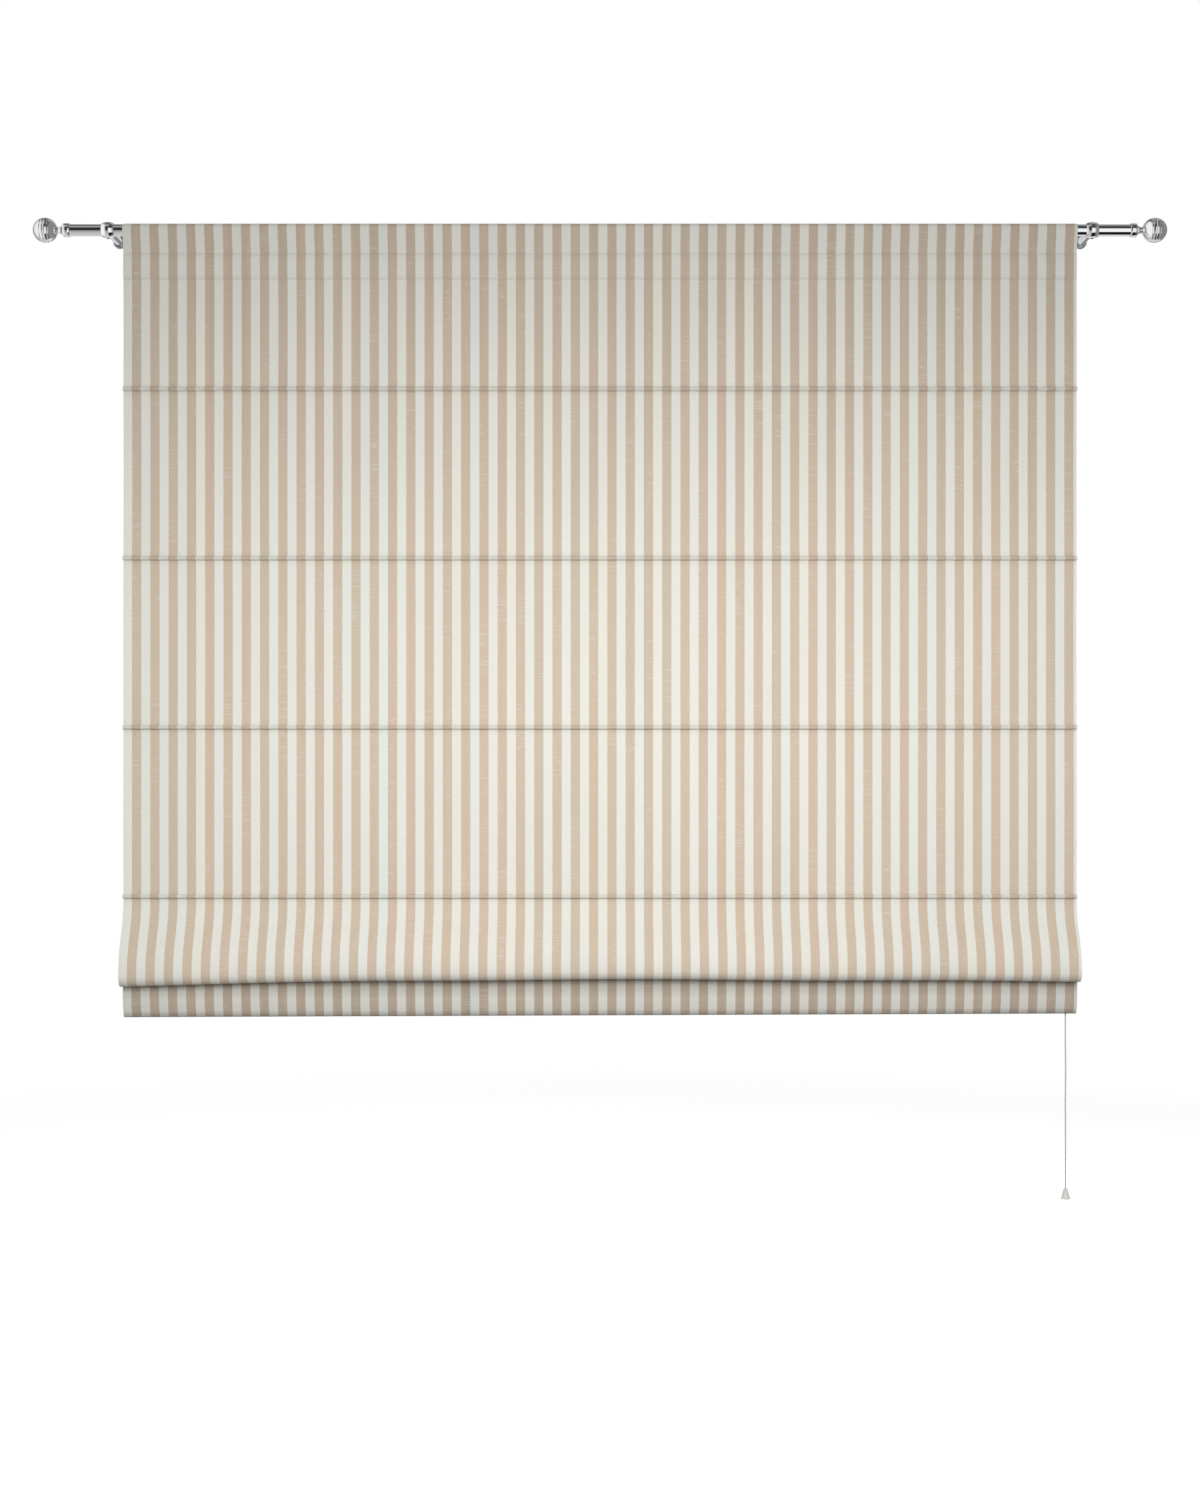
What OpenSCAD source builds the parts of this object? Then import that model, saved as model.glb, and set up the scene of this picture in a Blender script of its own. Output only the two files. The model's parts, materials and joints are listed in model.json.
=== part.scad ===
// Roman blind on a chrome rod: striped cloth with front tucks, lift cords, a cord lock and a pull cord.
// Origin: on the wall, midway between the two bracket fixings, at the height of the rod's axis.
// +X runs to the right as seen from the room, +Z up, and the room lies towards -Y. Millimetres.

/* [Cloth] */
// width of the cloth
blind_w = 1300; // [800:10:1800]
// thickness of the cloth
cloth_t = 0.8; // [0.6:0.1:1.2]
// rod axis down to the stitch under the rod pocket
pocket_drop = 33; // [28:1:45]
// rod axis down to the stitch under the head slat
facing_drop = 66; // [62:1:90]
// rod axis down to the first tuck
first_tuck = 217; // [150:1:320]
// one tuck down to the next
tuck_pitch = 230.5; // [160:0.5:300]
// last open tuck down to the bottom of the hanging fold
fold_drop = 114; // [95:1:150]
// how far the hanging fold stands out in front of the panels
fold_bulge = 33; // [15:1:50]
// last open tuck down to the bottom of the hem
hem_drop = 163; // [150:1:220]

/* [Stiffeners] */
// diameter of the battens in the tucks
batten_d = 4; // [3:0.5:6]
// height of the head slat
slat_h = 25; // [20:1:28]
// thickness of the head slat
slat_t = 4; // [3:0.5:6]
// height of the bar in the hem
bar_h = 20; // [12:1:26]
// thickness of the bar in the hem
bar_t = 3; // [2:0.5:5]

/* [Rod] */
// outer diameter of the rod
rod_d = 16; // [12:1:20]
// wall of the rod's tube
rod_wall = 1; // [0.8:0.1:1.5]
// side of the cloth out to a bracket's ring
ring_gap = 12.75; // [8:0.25:40]
// ring centre out to the end of the tube
rod_overhang = 59; // [35:1:120]
// wall to the rod's axis
wall_gap = 75; // [60:1:110]
// diameter of the ball finials
ball_d = 33.6; // [24:0.2:45]

/* [Brackets] */
// width of a bracket's ring along the rod
ring_w = 16.5; // [12:0.5:24]
// wall of the ring at its middle
ring_wall = 3; // [2.5:0.5:5]
// diameter of the arm
arm_d = 12; // [10:0.5:16]
// radius of the hole for the wall bolt
fixing_r = 3; // [2.5:0.5:3]
// depth of the hole for the wall bolt
fixing_depth = 25; // [15:1:40]

/* [Cords] */
// diameter of the lift cords
cord_d = 1.2; // [0.8:0.1:1.3]
// diameter of the pull cord
pull_d = 2; // [1.6:0.1:3]
// cloth edge to the outer cord columns
column_inset = 70; // [66:1:120]
// cloth edge to the pull cord
pull_inset = 11.5; // [11:0.5:20]
// bottom of the hem down to the bottom of the bell
bell_drop = 253; // [120:1:500]
// diameter of the bell's mouth
bell_d = 13; // [10:0.5:18]
// height of the bell
bell_h = 15; // [12:0.5:24]

/* [Cord lock] */
// diameter of the pulley
pulley_d = 12; // [10:0.5:13]
// length of the pawl's arm, from its hub to its nose
pawl_arm = 11; // [10:0.5:12]

/* [Hidden] */
$fn = 64;
// clearances
layer_gap = 0.2;   // between two layers of cloth
loose_fit = 0.1;   // around what lies in the cloth, and under what sits on it
bar_fit = 0.15;    // around the hem bar
press_fit = 0.02;  // around pins, screws and plugs
run_fit = 0.05;    // around what turns on a pin
clear = 0.3;       // between pieces that move past each other

// cloth section: y is the depth and z the height
layer = cloth_t + layer_gap;
half = layer / 2;
rod_y = -wall_gap;
plane_y = rod_y - half;
facing_end = 4;
rod_r = rod_d / 2;
rod_loop_r = rod_r + loose_fit + cloth_t / 2;
slat_z = -(pocket_drop + facing_drop) / 2;
slat_side = slat_t / 2 + loose_fit + cloth_t / 2;
slat_ease = 0.5;
tuck_z = [for (k = [0:3]) -(first_tuck + k * tuck_pitch)];
last_z = tuck_z[3];
loop_r = batten_d / 2 + loose_fit + cloth_t / 2;
loop_a = asin(half / loop_r);
tuck_round = 0.6;
neck = tuck_round + 0.5;
tuck_y = plane_y - neck - loop_r * cos(loop_a);

// guides, rings and cords
wire_r = 1;
eye_r = 5;
eye_wire_r = 0.9;
shank_r = 1.25;
shank_in = 3.2;
facing_back = rod_y + slat_side + cloth_t / 2;
cord_y = facing_back + loose_fit + eye_r;
ring_r = cord_y - (plane_y + cloth_t / 2) - loose_fit;
knot_ring_r = 5;
lane_pitch = 1.4;
cord_r = cord_d / 2;
column_x = [for (i = [0:3]) (i / 3 - 0.5) * (blind_w - 2 * column_inset)];
lane_y = [for (i = [0:3]) cord_y + (i - 1.5) * lane_pitch];
bend_r = 4;
eye_after = 2;

// the lifted tuck, behind the hanging fold
lift_gap = 14;
turn_r = loop_r + cloth_t / 2 + 1.6;
turn_z = last_z - lift_gap - turn_r - cloth_t / 2;
turn_a = asin(half / turn_r);
lifted_neck = 1;
lifted_z = turn_z + turn_r * cos(turn_a) - lifted_neck - loop_r * cos(loop_a);

// the hanging fold and the hem
fold_r = 13;
fold_y = plane_y - fold_bulge;
fold_c = [fold_y + fold_r, last_z - fold_drop + cloth_t / 2 + fold_r];
hem_r = bar_t / 2 + bar_fit + cloth_t / 2;
hem_y = plane_y - 4.5;
hem_bottom = last_z - hem_drop;
hem_c = [hem_y + hem_r, hem_bottom + cloth_t / 2 + hem_r];

// rod, caps, finials and brackets
bracket_pitch = blind_w + 2 * ring_gap + ring_w;
tube_end = bracket_pitch / 2 + rod_overhang;
cap_sleeve = 7;
cap_wall = 1.3;
cap_end = 1.8;
cap_cone = 7.5;
neck_r = 4.2;
stud_r = 2.5;
stud_len = 5;
ball_r = ball_d / 2;
cap_tip = tube_end + cap_end + cap_cone;
ball_x = cap_tip + sqrt(ball_r * ball_r - neck_r * neck_r) + 1;
groove_at = [-0.3, 0, 0.3];
groove_r = 0.5;
ring_out = rod_r + loose_fit + ring_wall;
ring_edge = rod_r + loose_fit + 1.2;
rosette_r = arm_d / 2 + 2.8;
rosette_t = 6;
grub_r = 2;
grub_key = 1;

// cord lock
lock_cavity = 6.8;
lock_plate = (2 * eye_r - lock_cavity) / 2;
pulley_r = pulley_d / 2;
pulley_w = lock_cavity - 2 * clear;
pin_r = 1.5;
pawl_pin_r = 1.25;
wrap_r = pulley_r + clear + cord_r;
pull_x = blind_w / 2 - pull_inset;
lock_x = pull_x - wrap_r;
pulley_z = slat_z - wrap_r;
nose_r = 2.2;
pawl_hub_r = 3;
nose_z = slat_z + cord_r + clear + nose_r;
pawl_z = slat_z + 9.5;
pawl_dx = sqrt(pawl_arm * pawl_arm - pow(pawl_z - nose_z, 2));
pawl_x = lock_x - pawl_dx;
lock_left = lock_x - 15;
lock_right = pull_x + cord_r + 4;
lock_low = slat_z - 15.5;
lock_top = slat_z + 15;
lug_w = 9;
lug_x = lock_left - lug_w / 2;
lug_z = 8.5;
screw_r = 1.25;
screw_head_r = 2.4;
screw_head_h = 1.4;
screw_in = 3;

// joiner, pull cord and bell
joiner_top = slat_z - 42;
joiner_h = 20;
joiner_r = 4.5;
joiner_foot_r = 2.6;
socket_r = 1.5 * lane_pitch + cord_r + 0.4;
socket_depth = 9;
cord_in = 6;
pull_r = pull_d / 2;
pull_top = joiner_top - socket_depth - 2;
bell_z = hem_bottom - bell_drop;
bell_wall = 1.4;
bell_crown = 3;
knot_h = 3;
pull_low = bell_z + bell_h - bell_crown - knot_h;
behind_y = cord_y + turn_r + cloth_t + pull_r + 2;
// route of the pull cord: sideways in mm, then shares of the way back and of the way down
pull_route = [
    [0, 0, 0], [0, 0, 0.02], [0.2, 0.02, 0.06], [0.3, 0.06, 0.12], [0.2, 0.12, 0.18], [0, 0.2, 0.25],
    [-0.2, 0.3, 0.32], [-0.3, 0.42, 0.39], [-0.2, 0.55, 0.46], [0, 0.68, 0.53], [0.2, 0.8, 0.6],
    [0.3, 0.92, 0.67], [0.2, 1, 0.73], [0, 1, 0.78], [-0.3, 1, 0.82], [0.2, 1, 0.86], [-0.2, 1, 0.9],
    [0, 1, 0.94], [0, 1, 0.97], [0, 1, 0.99], [0, 1, 1]
];

chrome = [0.78, 0.79, 0.8];
steel = [0.62, 0.63, 0.64];
linen = [0.84, 0.79, 0.72];
white = [0.93, 0.93, 0.91];
pine = [0.8, 0.66, 0.46];

// Points of an arc from angle a0 to a1, both ends included.
function arc(c, r, a0, a1, n) =
    [for (i = [0:n]) let (a = a0 + (a1 - a0) * i / n) c + r * [cos(a), sin(a)]];

// Points of a cubic curve after its first point.
function curve(p, q, r, s, n) = [
    for (i = [1:n]) let (t = i / n, u = 1 - t)
        u * u * u * p + 3 * u * u * t * q + 3 * u * t * t * r + t * t * t * s
];

// A list without its first point.
function rest(points) = [for (i = [1:len(points) - 1]) points[i]];

function flip(points) = [for (i = [len(points) - 1:-1:0]) points[i]];

function unit(v) = v / norm(v);

function left_of(v) = [-v[1], v[0]];

// A path moved sideways by d, with mitred corners.
function beside(path, d) = [
    for (i = [0:len(path) - 1])
        let (
            last = len(path) - 1,
            a = unit(path[max(i, 1)] - path[max(i, 1) - 1]),
            b = unit(path[min(i, last - 1) + 1] - path[min(i, last - 1)]),
            n = left_of(a) + left_of(b)
        )
        path[i] + n * 2 * d / (n * n)
];

// Outline of a sheet of thickness t along a path.
function sheet(path, t) = concat(beside(path, t / 2), flip(beside(path, -t / 2)));

// Outline around two circles and their common tangents.
function link(c, rc, d, rd) =
    let (
        way = d - c,
        a = atan2(way[1], way[0]),
        b = acos((rc - rd) / norm(way))
    )
    concat(arc(c, rc, a + b, a + 360 - b, 20), arc(d, rd, a - b, a + b, 12));

// Outline of a rectangle with rounded corners.
function plate(x0, x1, z0, z1, r) = concat(
    arc([x1 - r, z1 - r], r, 0, 90, 6), arc([x0 + r, z1 - r], r, 90, 180, 6),
    arc([x0 + r, z0 + r], r, 180, 270, 6), arc([x1 - r, z0 + r], r, 270, 360, 6)
);

// Head of the cloth: up behind the slat and the rod, over it, and down in front.
function head_back() = [
    [rod_y + half, -facing_drop - facing_end],
    [rod_y + half, -facing_drop],
    [rod_y + slat_side, slat_z - slat_h / 2 - slat_ease],
    [rod_y + slat_side, slat_z + slat_h / 2 + slat_ease],
    [rod_y + half, -pocket_drop]
];

function head_front() = rest(flip([for (p = rest(head_back())) [2 * rod_y - p[0], p[1]]]));

function head() =
    let (a = atan2(-pocket_drop, half) + acos(rod_loop_r / norm([half, pocket_drop])))
    concat(
        head_back(), arc([rod_y, 0], rod_loop_r, a, 180 - a, 30),
        [[rod_y - half, -pocket_drop]], head_front()
    );

// A tuck: forward through the neck, around the batten and back.
function tuck(z) = concat(
    arc([plane_y - tuck_round, z + half + tuck_round], tuck_round, 0, -90, 4),
    arc([tuck_y, z], loop_r, loop_a, 360 - loop_a, 24),
    arc([plane_y - tuck_round, z - half - tuck_round], tuck_round, 90, 0, 4)
);

// The hanging fold: out and down from the last open tuck, under, and up behind.
function hanging_fold() =
    let (
        top = [plane_y, last_z - half - tuck_round],
        front = [fold_y, fold_c[1]],
        back = fold_c + [fold_r, 0],
        turn = [cord_y - turn_r, turn_z],
        reach = fold_drop * 0.42
    )
    concat(
        curve(top, top - [0, reach], front + [0, reach], front, 16),
        rest(arc(fold_c, fold_r, 180, 360, 18)),
        curve(back, back + [0, reach * 0.7], turn - [0, reach * 0.7], turn, 12)
    );

// The lifted tuck: the cloth turns over, with its batten hanging inside the turn.
function lifted_tuck() = concat(
    rest(arc([cord_y, turn_z], turn_r, 180, 90 + turn_a, 8)),
    arc([cord_y, lifted_z], loop_r, 90 + loop_a, 450 - loop_a, 24),
    arc([cord_y, turn_z], turn_r, 90 - turn_a, 0, 8)
);

// The hem: down behind the fold, under the bar and up behind it.
function hem() =
    let (
        top = [cord_y + turn_r, turn_z],
        low = [hem_y, hem_c[1] + bar_h + 16],
        shut = hem_c[1] + bar_h + 2
    )
    concat(
        curve(top, top - [0, 45], low + [0, 35], low, 14),
        arc(hem_c, hem_r, 180, 360, 12),
        [[hem_y + 2 * hem_r, shut], [hem_y + layer, shut + 4], [hem_y + layer, shut + 9]]
    );

function cloth_path() = concat(
    head(), tuck(tuck_z[0]), tuck(tuck_z[1]), tuck(tuck_z[2]), tuck(tuck_z[3]),
    hanging_fold(), lifted_tuck(), hem()
);

// A section drawn in depth and height, run along X about the middle.
module along_x(length) {
    translate([-length / 2, 0, 0])
        rotate([90, 0, 90])
            linear_extrude(length)
                children();
}

// A section drawn in X and height, run along Y from y0 to y1.
module along_y(y0, y1) {
    translate([0, y1, 0])
        rotate([90, 0, 0])
            linear_extrude(y1 - y0)
                children();
}

// A round bar along X.
module bar_x(x0, x1, r) {
    translate([x0, 0, 0])
        rotate([0, 90, 0])
            cylinder(r = r, h = x1 - x0);
}

// A round bar along Y.
module bar_y(y0, y1, r) {
    translate([0, y0, 0])
        rotate([-90, 0, 0])
            cylinder(r = r, h = y1 - y0);
}

// A round bar along Z.
module bar_z(z0, z1, r) {
    translate([0, 0, z0])
        cylinder(r = r, h = z1 - z0);
}

// A profile of [radius, distance] turned about X.
module turned_x(profile) {
    rotate([0, 90, 0])
        rotate_extrude()
            polygon(profile);
}

// A wire ring, its axis along Z.
module wire_ring(outer, wire) {
    rotate_extrude()
        translate([outer - wire, 0])
            circle(wire, $fn = 24);
}

// A quarter bend of cord in the X and Z plane, starting at an angle.
module cord_bend(r, start) {
    rotate([90, 0, 0])
        rotate([0, 0, start])
            rotate_extrude(angle = 90)
                translate([r, 0])
                    circle(cord_r, $fn = 16);
}

module on_left() {
    mirror([1, 0, 0])
        children();
}

module rod_tube() {
    color(chrome)
        translate([0, rod_y, 0])
            difference() {
                bar_x(-tube_end, tube_end, rod_r);
                bar_x(-tube_end - 1, tube_end + 1, rod_r - rod_wall);
            }
}

// Cup over the tube's end, with a cone down to the finial's neck.
module end_cap() {
    inner = rod_r + run_fit;
    outer = inner + cap_wall;
    shoulder = [outer - 0.6, cap_end];
    tip = cap_end + cap_cone;
    color(chrome)
        translate([tube_end, rod_y, 0])
            difference() {
                turned_x(concat(
                    [
                        [0, tip], [0, 0], [inner, 0], [inner, -cap_sleeve],
                        [outer - 0.4, -cap_sleeve], [outer, 0.4 - cap_sleeve], [outer, cap_end - 0.6],
                        shoulder
                    ],
                    curve(
                        shoulder, [outer - 3.4, cap_end + 0.8],
                        [neck_r + 0.2, cap_end + cap_cone * 0.5], [neck_r, tip], 8
                    )
                ));
                bar_x(tip - stud_len - 0.5, tip + 1, stud_r + press_fit);
            }
}

// Profile of a ball around [0, c], from its neck to its pole, with fine turned grooves.
function ball_profile(c) =
    let (
        cut = asin(groove_r / ball_r),
        grooves = [for (share = groove_at) acos(-share)],
        last = len(grooves)
    )
    [
        for (k = [0:last])
            let (
                from = k == 0 ? asin(neck_r / ball_r) : grooves[k - 1] + cut,
                to = k == last ? 180 : grooves[k] - cut,
                steps = max(2, ceil((to - from) / 5))
            )
            for (i = [0:k == last ? steps : steps + 1])
                let (
                    a = i > steps ? grooves[k] : from + (to - from) * i / steps,
                    r = i > steps ? ball_r - groove_r : ball_r
                )
                [r * sin(a), c - r * cos(a)]
    ];

// Turned ball with a neck, and a stud that screws into the cap.
module finial() {
    color(chrome)
        translate([cap_tip, rod_y, 0])
            turned_x(concat(
                [[0, -stud_len], [stud_r, -stud_len], [stud_r, 0], [neck_r, 0]],
                ball_profile(ball_x - cap_tip)
            ));
}

// Barrel ring around the rod, with an arm back to the wall.
module bracket() {
    side = ring_w / 2;
    rise = ring_out - ring_edge;
    crown = (side * side + rise * rise) / (2 * rise);
    tilt = asin(side / crown);
    color(chrome)
        translate([bracket_pitch / 2, 0, 0])
            difference() {
                union() {
                    translate([0, rod_y, 0])
                        turned_x(concat(
                            [[0, -side]], arc([ring_out - crown, 0], crown, -tilt, tilt, 12), [[0, side]]
                        ));
                    bar_y(rod_y, 0, arm_d / 2);
                }
                translate([0, rod_y, 0])
                    bar_x(-side - 1, side + 1, rod_r + loose_fit);
                bar_y(-fixing_depth, 1, fixing_r);
                translate([0, rod_y, 0])
                    bar_z(-ring_out - 1, 0, grub_r + press_fit);
            }
}

// Cover ring around the arm, against the wall.
module rosette() {
    color(chrome)
        translate([bracket_pitch / 2, 0, 0])
            rotate([90, 0, 0])
                rotate_extrude()
                    polygon([
                        [arm_d / 2 + press_fit, 0], [rosette_r, 0], [rosette_r, rosette_t - 2.5],
                        [rosette_r - 0.5, rosette_t - 1.2], [rosette_r - 1.4, rosette_t],
                        [arm_d / 2 + press_fit, rosette_t]
                    ]);
}

// Hollow-key screw in the bottom of the ring, tight against the rod.
module grub_screw() {
    color(steel)
        translate([bracket_pitch / 2, rod_y, 0])
            difference() {
                bar_z(-ring_out - 0.6, -rod_r - press_fit, grub_r);
                translate([0, 0, -ring_out - 1])
                    cylinder(r = grub_key, h = 2.2, $fn = 6);
            }
}

// One sewn sheet: rod pocket, slat pocket, tucks, hanging fold, lifted tuck and hem.
module blind_cloth() {
    color(linen)
        difference() {
            along_x(blind_w)
                polygon(sheet(cloth_path(), cloth_t));
            for (x = column_x)
                translate([x + bend_r + eye_after, 0, slat_z])
                    bar_y(rod_y, cord_y, shank_r + loose_fit);
            for (side = [-1, 1])
                translate([lug_x, 0, slat_z + side * lug_z])
                    bar_y(rod_y, cord_y, screw_r + loose_fit);
        }
}

// Wooden slat in the second pocket, drilled for the guides and the lock.
module head_slat() {
    color(pine)
        difference() {
            translate([-blind_w / 2 + 5, rod_y - slat_t / 2, slat_z - slat_h / 2])
                cube([blind_w - 10, slat_t, slat_h]);
            for (x = column_x)
                translate([x + bend_r + eye_after, rod_y + slat_t / 2, slat_z])
                    bar_y(-shank_in - 0.2, 1, shank_r + press_fit);
            for (side = [-1, 1])
                translate([lug_x, rod_y + slat_t / 2, slat_z + side * lug_z])
                    bar_y(-screw_in - 0.2, 1, screw_r + press_fit);
        }
}

module batten(y, z) {
    color(white)
        translate([0, y, z])
            bar_x(-blind_w / 2 + 3, blind_w / 2 - 3, batten_d / 2);
}

module batten_1() { batten(tuck_y, tuck_z[0]); }

module batten_2() { batten(tuck_y, tuck_z[1]); }

module batten_3() { batten(tuck_y, tuck_z[2]); }

module batten_4() { batten(tuck_y, tuck_z[3]); }

module batten_5() { batten(cord_y, lifted_z); }

// Flat weight bar in the hem, with rounded ends.
module bottom_bar() {
    color(steel)
        translate([0, hem_c[0], 0])
            along_y(-bar_t / 2, bar_t / 2)
                polygon(plate(-blind_w / 2 + 6, blind_w / 2 - 6, hem_c[1], hem_c[1] + bar_h, 4));
}

// Rings sewn behind an open tuck, one at each cord.
module ring_row(z) {
    color(white)
        for (x = column_x)
            translate([x, cord_y, z])
                wire_ring(ring_r, wire_r);
}

module ring_row_1() { ring_row(tuck_z[0]); }

module ring_row_2() { ring_row(tuck_z[1]); }

module ring_row_3() { ring_row(tuck_z[2]); }

module ring_row_4() { ring_row(tuck_z[3]); }

// Height of the knot ring of a lane above the turn of the lifted tuck.
function knot_ring_z(i) =
    let (reach = turn_r + cloth_t / 2 + loose_fit + knot_ring_r)
    turn_z + sqrt(reach * reach - pow(lane_y[i] - cord_y, 2));

// Upright rings on the lifted tuck, where the cords are tied.
module ring_row_5() {
    color(white)
        for (i = [0:3])
            translate([column_x[i], lane_y[i], knot_ring_z(i)])
                rotate([0, 90, 0])
                    wire_ring(knot_ring_r, wire_r);
}

// Screw eyes in the head slat, each turning its cord towards the lock.
module cord_guides() {
    color(steel)
        for (x = column_x)
            translate([x + bend_r + eye_after, cord_y, slat_z]) {
                rotate([0, 90, 0])
                    wire_ring(eye_r, eye_wire_r);
                bar_y(rod_y + slat_t / 2 - shank_in - cord_y, eye_wire_r - eye_r, shank_r);
            }
}

// Open-bottomed case on the slat, with a lug for its screws.
module lock_housing() {
    inner = lock_cavity / 2;
    cave_w = lock_right - lock_plate - lock_left + 1;
    cave_h = lock_top - lock_plate - lock_low + 1;
    color(white)
        translate([0, cord_y, 0])
            difference() {
                union() {
                    along_y(-eye_r, eye_r)
                        polygon(plate(lock_left, lock_right, lock_low, lock_top, 3));
                    along_y(-eye_r, lock_plate - eye_r)
                        polygon(plate(lock_left - lug_w, lock_right, slat_z - 12, slat_z + 12, 2));
                }
                translate([lock_left - 1, -inner, lock_low - 1])
                    cube([cave_w, lock_cavity, cave_h]);
                translate([lock_x, 0, pulley_z])
                    bar_y(-eye_r - 1, eye_r + 1, pin_r + press_fit);
                translate([pawl_x, 0, pawl_z])
                    bar_y(-eye_r - 1, eye_r + 1, pawl_pin_r + press_fit);
                for (side = [-1, 1])
                    translate([lug_x, 0, slat_z + side * lug_z])
                        bar_y(-eye_r - 1, 0, screw_r + press_fit);
            }
}

module lock_pulley() {
    color(white)
        translate([lock_x, cord_y, pulley_z])
            rotate([-90, 0, 0])
                rotate_extrude()
                    polygon([
                        [pin_r + run_fit, -pulley_w / 2], [pulley_r - 0.5, -pulley_w / 2],
                        [pulley_r, 0.5 - pulley_w / 2], [pulley_r, pulley_w / 2 - 0.5],
                        [pulley_r - 0.5, pulley_w / 2], [pin_r + run_fit, pulley_w / 2]
                    ]);
}

module lock_pulley_pin() {
    color(steel)
        translate([lock_x, cord_y, pulley_z])
            bar_y(-eye_r + 0.1, eye_r, pin_r);
}

// Drop pawl: its nose lies on the cords over the pulley and bites when they run back.
module lock_pawl() {
    hub = [pawl_x, pawl_z];
    nose = [lock_x, nose_z];
    color(white)
        translate([0, cord_y, 0])
            difference() {
                along_y(-pulley_w / 2, pulley_w / 2)
                    polygon(link(hub, pawl_hub_r, nose, nose_r));
                translate([hub[0], 0, hub[1]])
                    bar_y(-eye_r, eye_r, pawl_pin_r + run_fit);
            }
}

module lock_pawl_pin() {
    color(steel)
        translate([pawl_x, cord_y, pawl_z])
            bar_y(-eye_r + 0.1, eye_r, pawl_pin_r);
}

// Round-headed screws through the lug into the slat.
module lock_screws() {
    seat = lock_plate - eye_r + press_fit;
    color(steel)
        for (side = [-1, 1])
            translate([lug_x, cord_y, slat_z + side * lug_z])
                difference() {
                    union() {
                        bar_y(rod_y + slat_t / 2 - screw_in - cord_y, seat, screw_r);
                        bar_y(seat, seat + screw_head_h, screw_head_r);
                    }
                    translate([-screw_head_r, seat + screw_head_h / 2, -0.3])
                        cube([2 * screw_head_r, screw_head_h, 0.6]);
                }
}

// A lift cord: tied to its ring, up through the rings, along the slat, over the pulley, into the joiner.
module lift_cord(i) {
    x = column_x[i];
    tie_r = wire_r + loose_fit + cord_r;
    tie_knot_r = 1.3 * cord_d;
    tie_z = knot_ring_z(i) + knot_ring_r - wire_r;
    color(white)
        translate([0, lane_y[i], 0]) {
            translate([x, 0, tie_z])
                rotate([90, 0, 0])
                    wire_ring(tie_r + cord_r, cord_r);
            translate([x, 0, tie_z + wire_r + loose_fit + tie_knot_r])
                sphere(tie_knot_r, $fn = 24);
            translate([x, 0, 0])
                bar_z(tie_z + tie_r + cord_r, slat_z - bend_r, cord_r, $fn = 16);
            translate([x + bend_r, 0, slat_z - bend_r])
                cord_bend(bend_r, 90);
            translate([0, 0, slat_z])
                bar_x(x + bend_r, lock_x, cord_r, $fn = 16);
            translate([lock_x, 0, pulley_z])
                cord_bend(wrap_r, 0);
            translate([pull_x, 0, 0])
                bar_z(joiner_top - cord_in, pulley_z, cord_r, $fn = 16);
        }
}

module lift_cord_1() { lift_cord(0); }

module lift_cord_2() { lift_cord(1); }

module lift_cord_3() { lift_cord(2); }

module lift_cord_4() { lift_cord(3); }

// Turned joiner: the lift cords end in its socket and the pull cord leaves below.
module cord_joiner() {
    color(white)
        translate([pull_x, cord_y, joiner_top - joiner_h])
            difference() {
                rotate_extrude()
                    polygon(concat(
                        [[0, 0], [joiner_foot_r, 0]],
                        curve(
                            [joiner_foot_r, 0], [joiner_foot_r, joiner_h * 0.35],
                            [joiner_r, joiner_h * 0.3], [joiner_r, joiner_h * 0.6], 10
                        ),
                        [[joiner_r, joiner_h - 0.8], [joiner_r - 0.8, joiner_h], [0, joiner_h]]
                    ));
                bar_z(joiner_h - socket_depth, joiner_h + 1, socket_r);
                bar_z(-1, joiner_h, pull_r + loose_fit);
            }
}

// Points along the pull cord, from the joiner down into the bell.
function pull_points() = [
    for (p = pull_route)
        [pull_x + p[0], cord_y + p[1] * (behind_y - cord_y), pull_top + p[2] * (pull_low - pull_top)]
];

// Thickness along the pull cord: the last points are its knot.
function pull_radius(k, n) =
    k <= n - 4 ? pull_r : (k == n - 1 || k == n - 3 ? pull_r * 1.2 : pull_r * 1.7);

// Cord of eight sides; it hangs, so each ring of points lies level.
module pull_cord() {
    sides = 8;
    way = concat(pull_points(), [
        for (drop = [1, 2, knot_h]) [pull_x, behind_y, pull_low - drop]
    ]);
    n = len(way);
    rings = [
        for (k = [0:n - 1]) for (s = [0:sides - 1])
            way[k] + pull_radius(k, n) * [cos(360 * s / sides), sin(360 * s / sides), 0]
    ];
    walls = [
        for (k = [0:n - 2]) for (s = [0:sides - 1])
            let (a = k * sides + s, b = k * sides + (s + 1) % sides)
            [a, b, b + sides, a + sides]
    ];
    top = [for (s = [sides - 1:-1:0]) s];
    foot = [for (s = [0:sides - 1]) (n - 1) * sides + s];
    color(white)
        polyhedron(rings, concat([top], walls, [foot]));
}

// Small bell over the knot at the cord's end.
module cord_bell() {
    mouth = bell_d / 2;
    crown = pull_r + loose_fit;
    color(white)
        translate([pull_x, behind_y, bell_z])
            rotate_extrude()
                polygon(concat(
                    [[mouth - bell_wall, 0], [mouth, 0], [mouth, 1]],
                    curve(
                        [mouth, 1], [mouth * 0.75, bell_h * 0.3],
                        [mouth * 0.62, bell_h * 0.6], [crown + 1.2, bell_h - 0.6], 10
                    ),
                    [[crown + 0.8, bell_h], [crown, bell_h], [crown, bell_h - bell_crown]],
                    curve(
                        [crown, bell_h - bell_crown], [mouth * 0.62 - bell_wall, bell_h - bell_crown],
                        [mouth * 0.7 - bell_wall, bell_h * 0.3], [mouth - bell_wall, 0.5], 8
                    )
                ));
}

module left_end_cap() { on_left() end_cap(); }

module right_end_cap() { end_cap(); }

module left_finial() { on_left() finial(); }

module right_finial() { finial(); }

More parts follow.
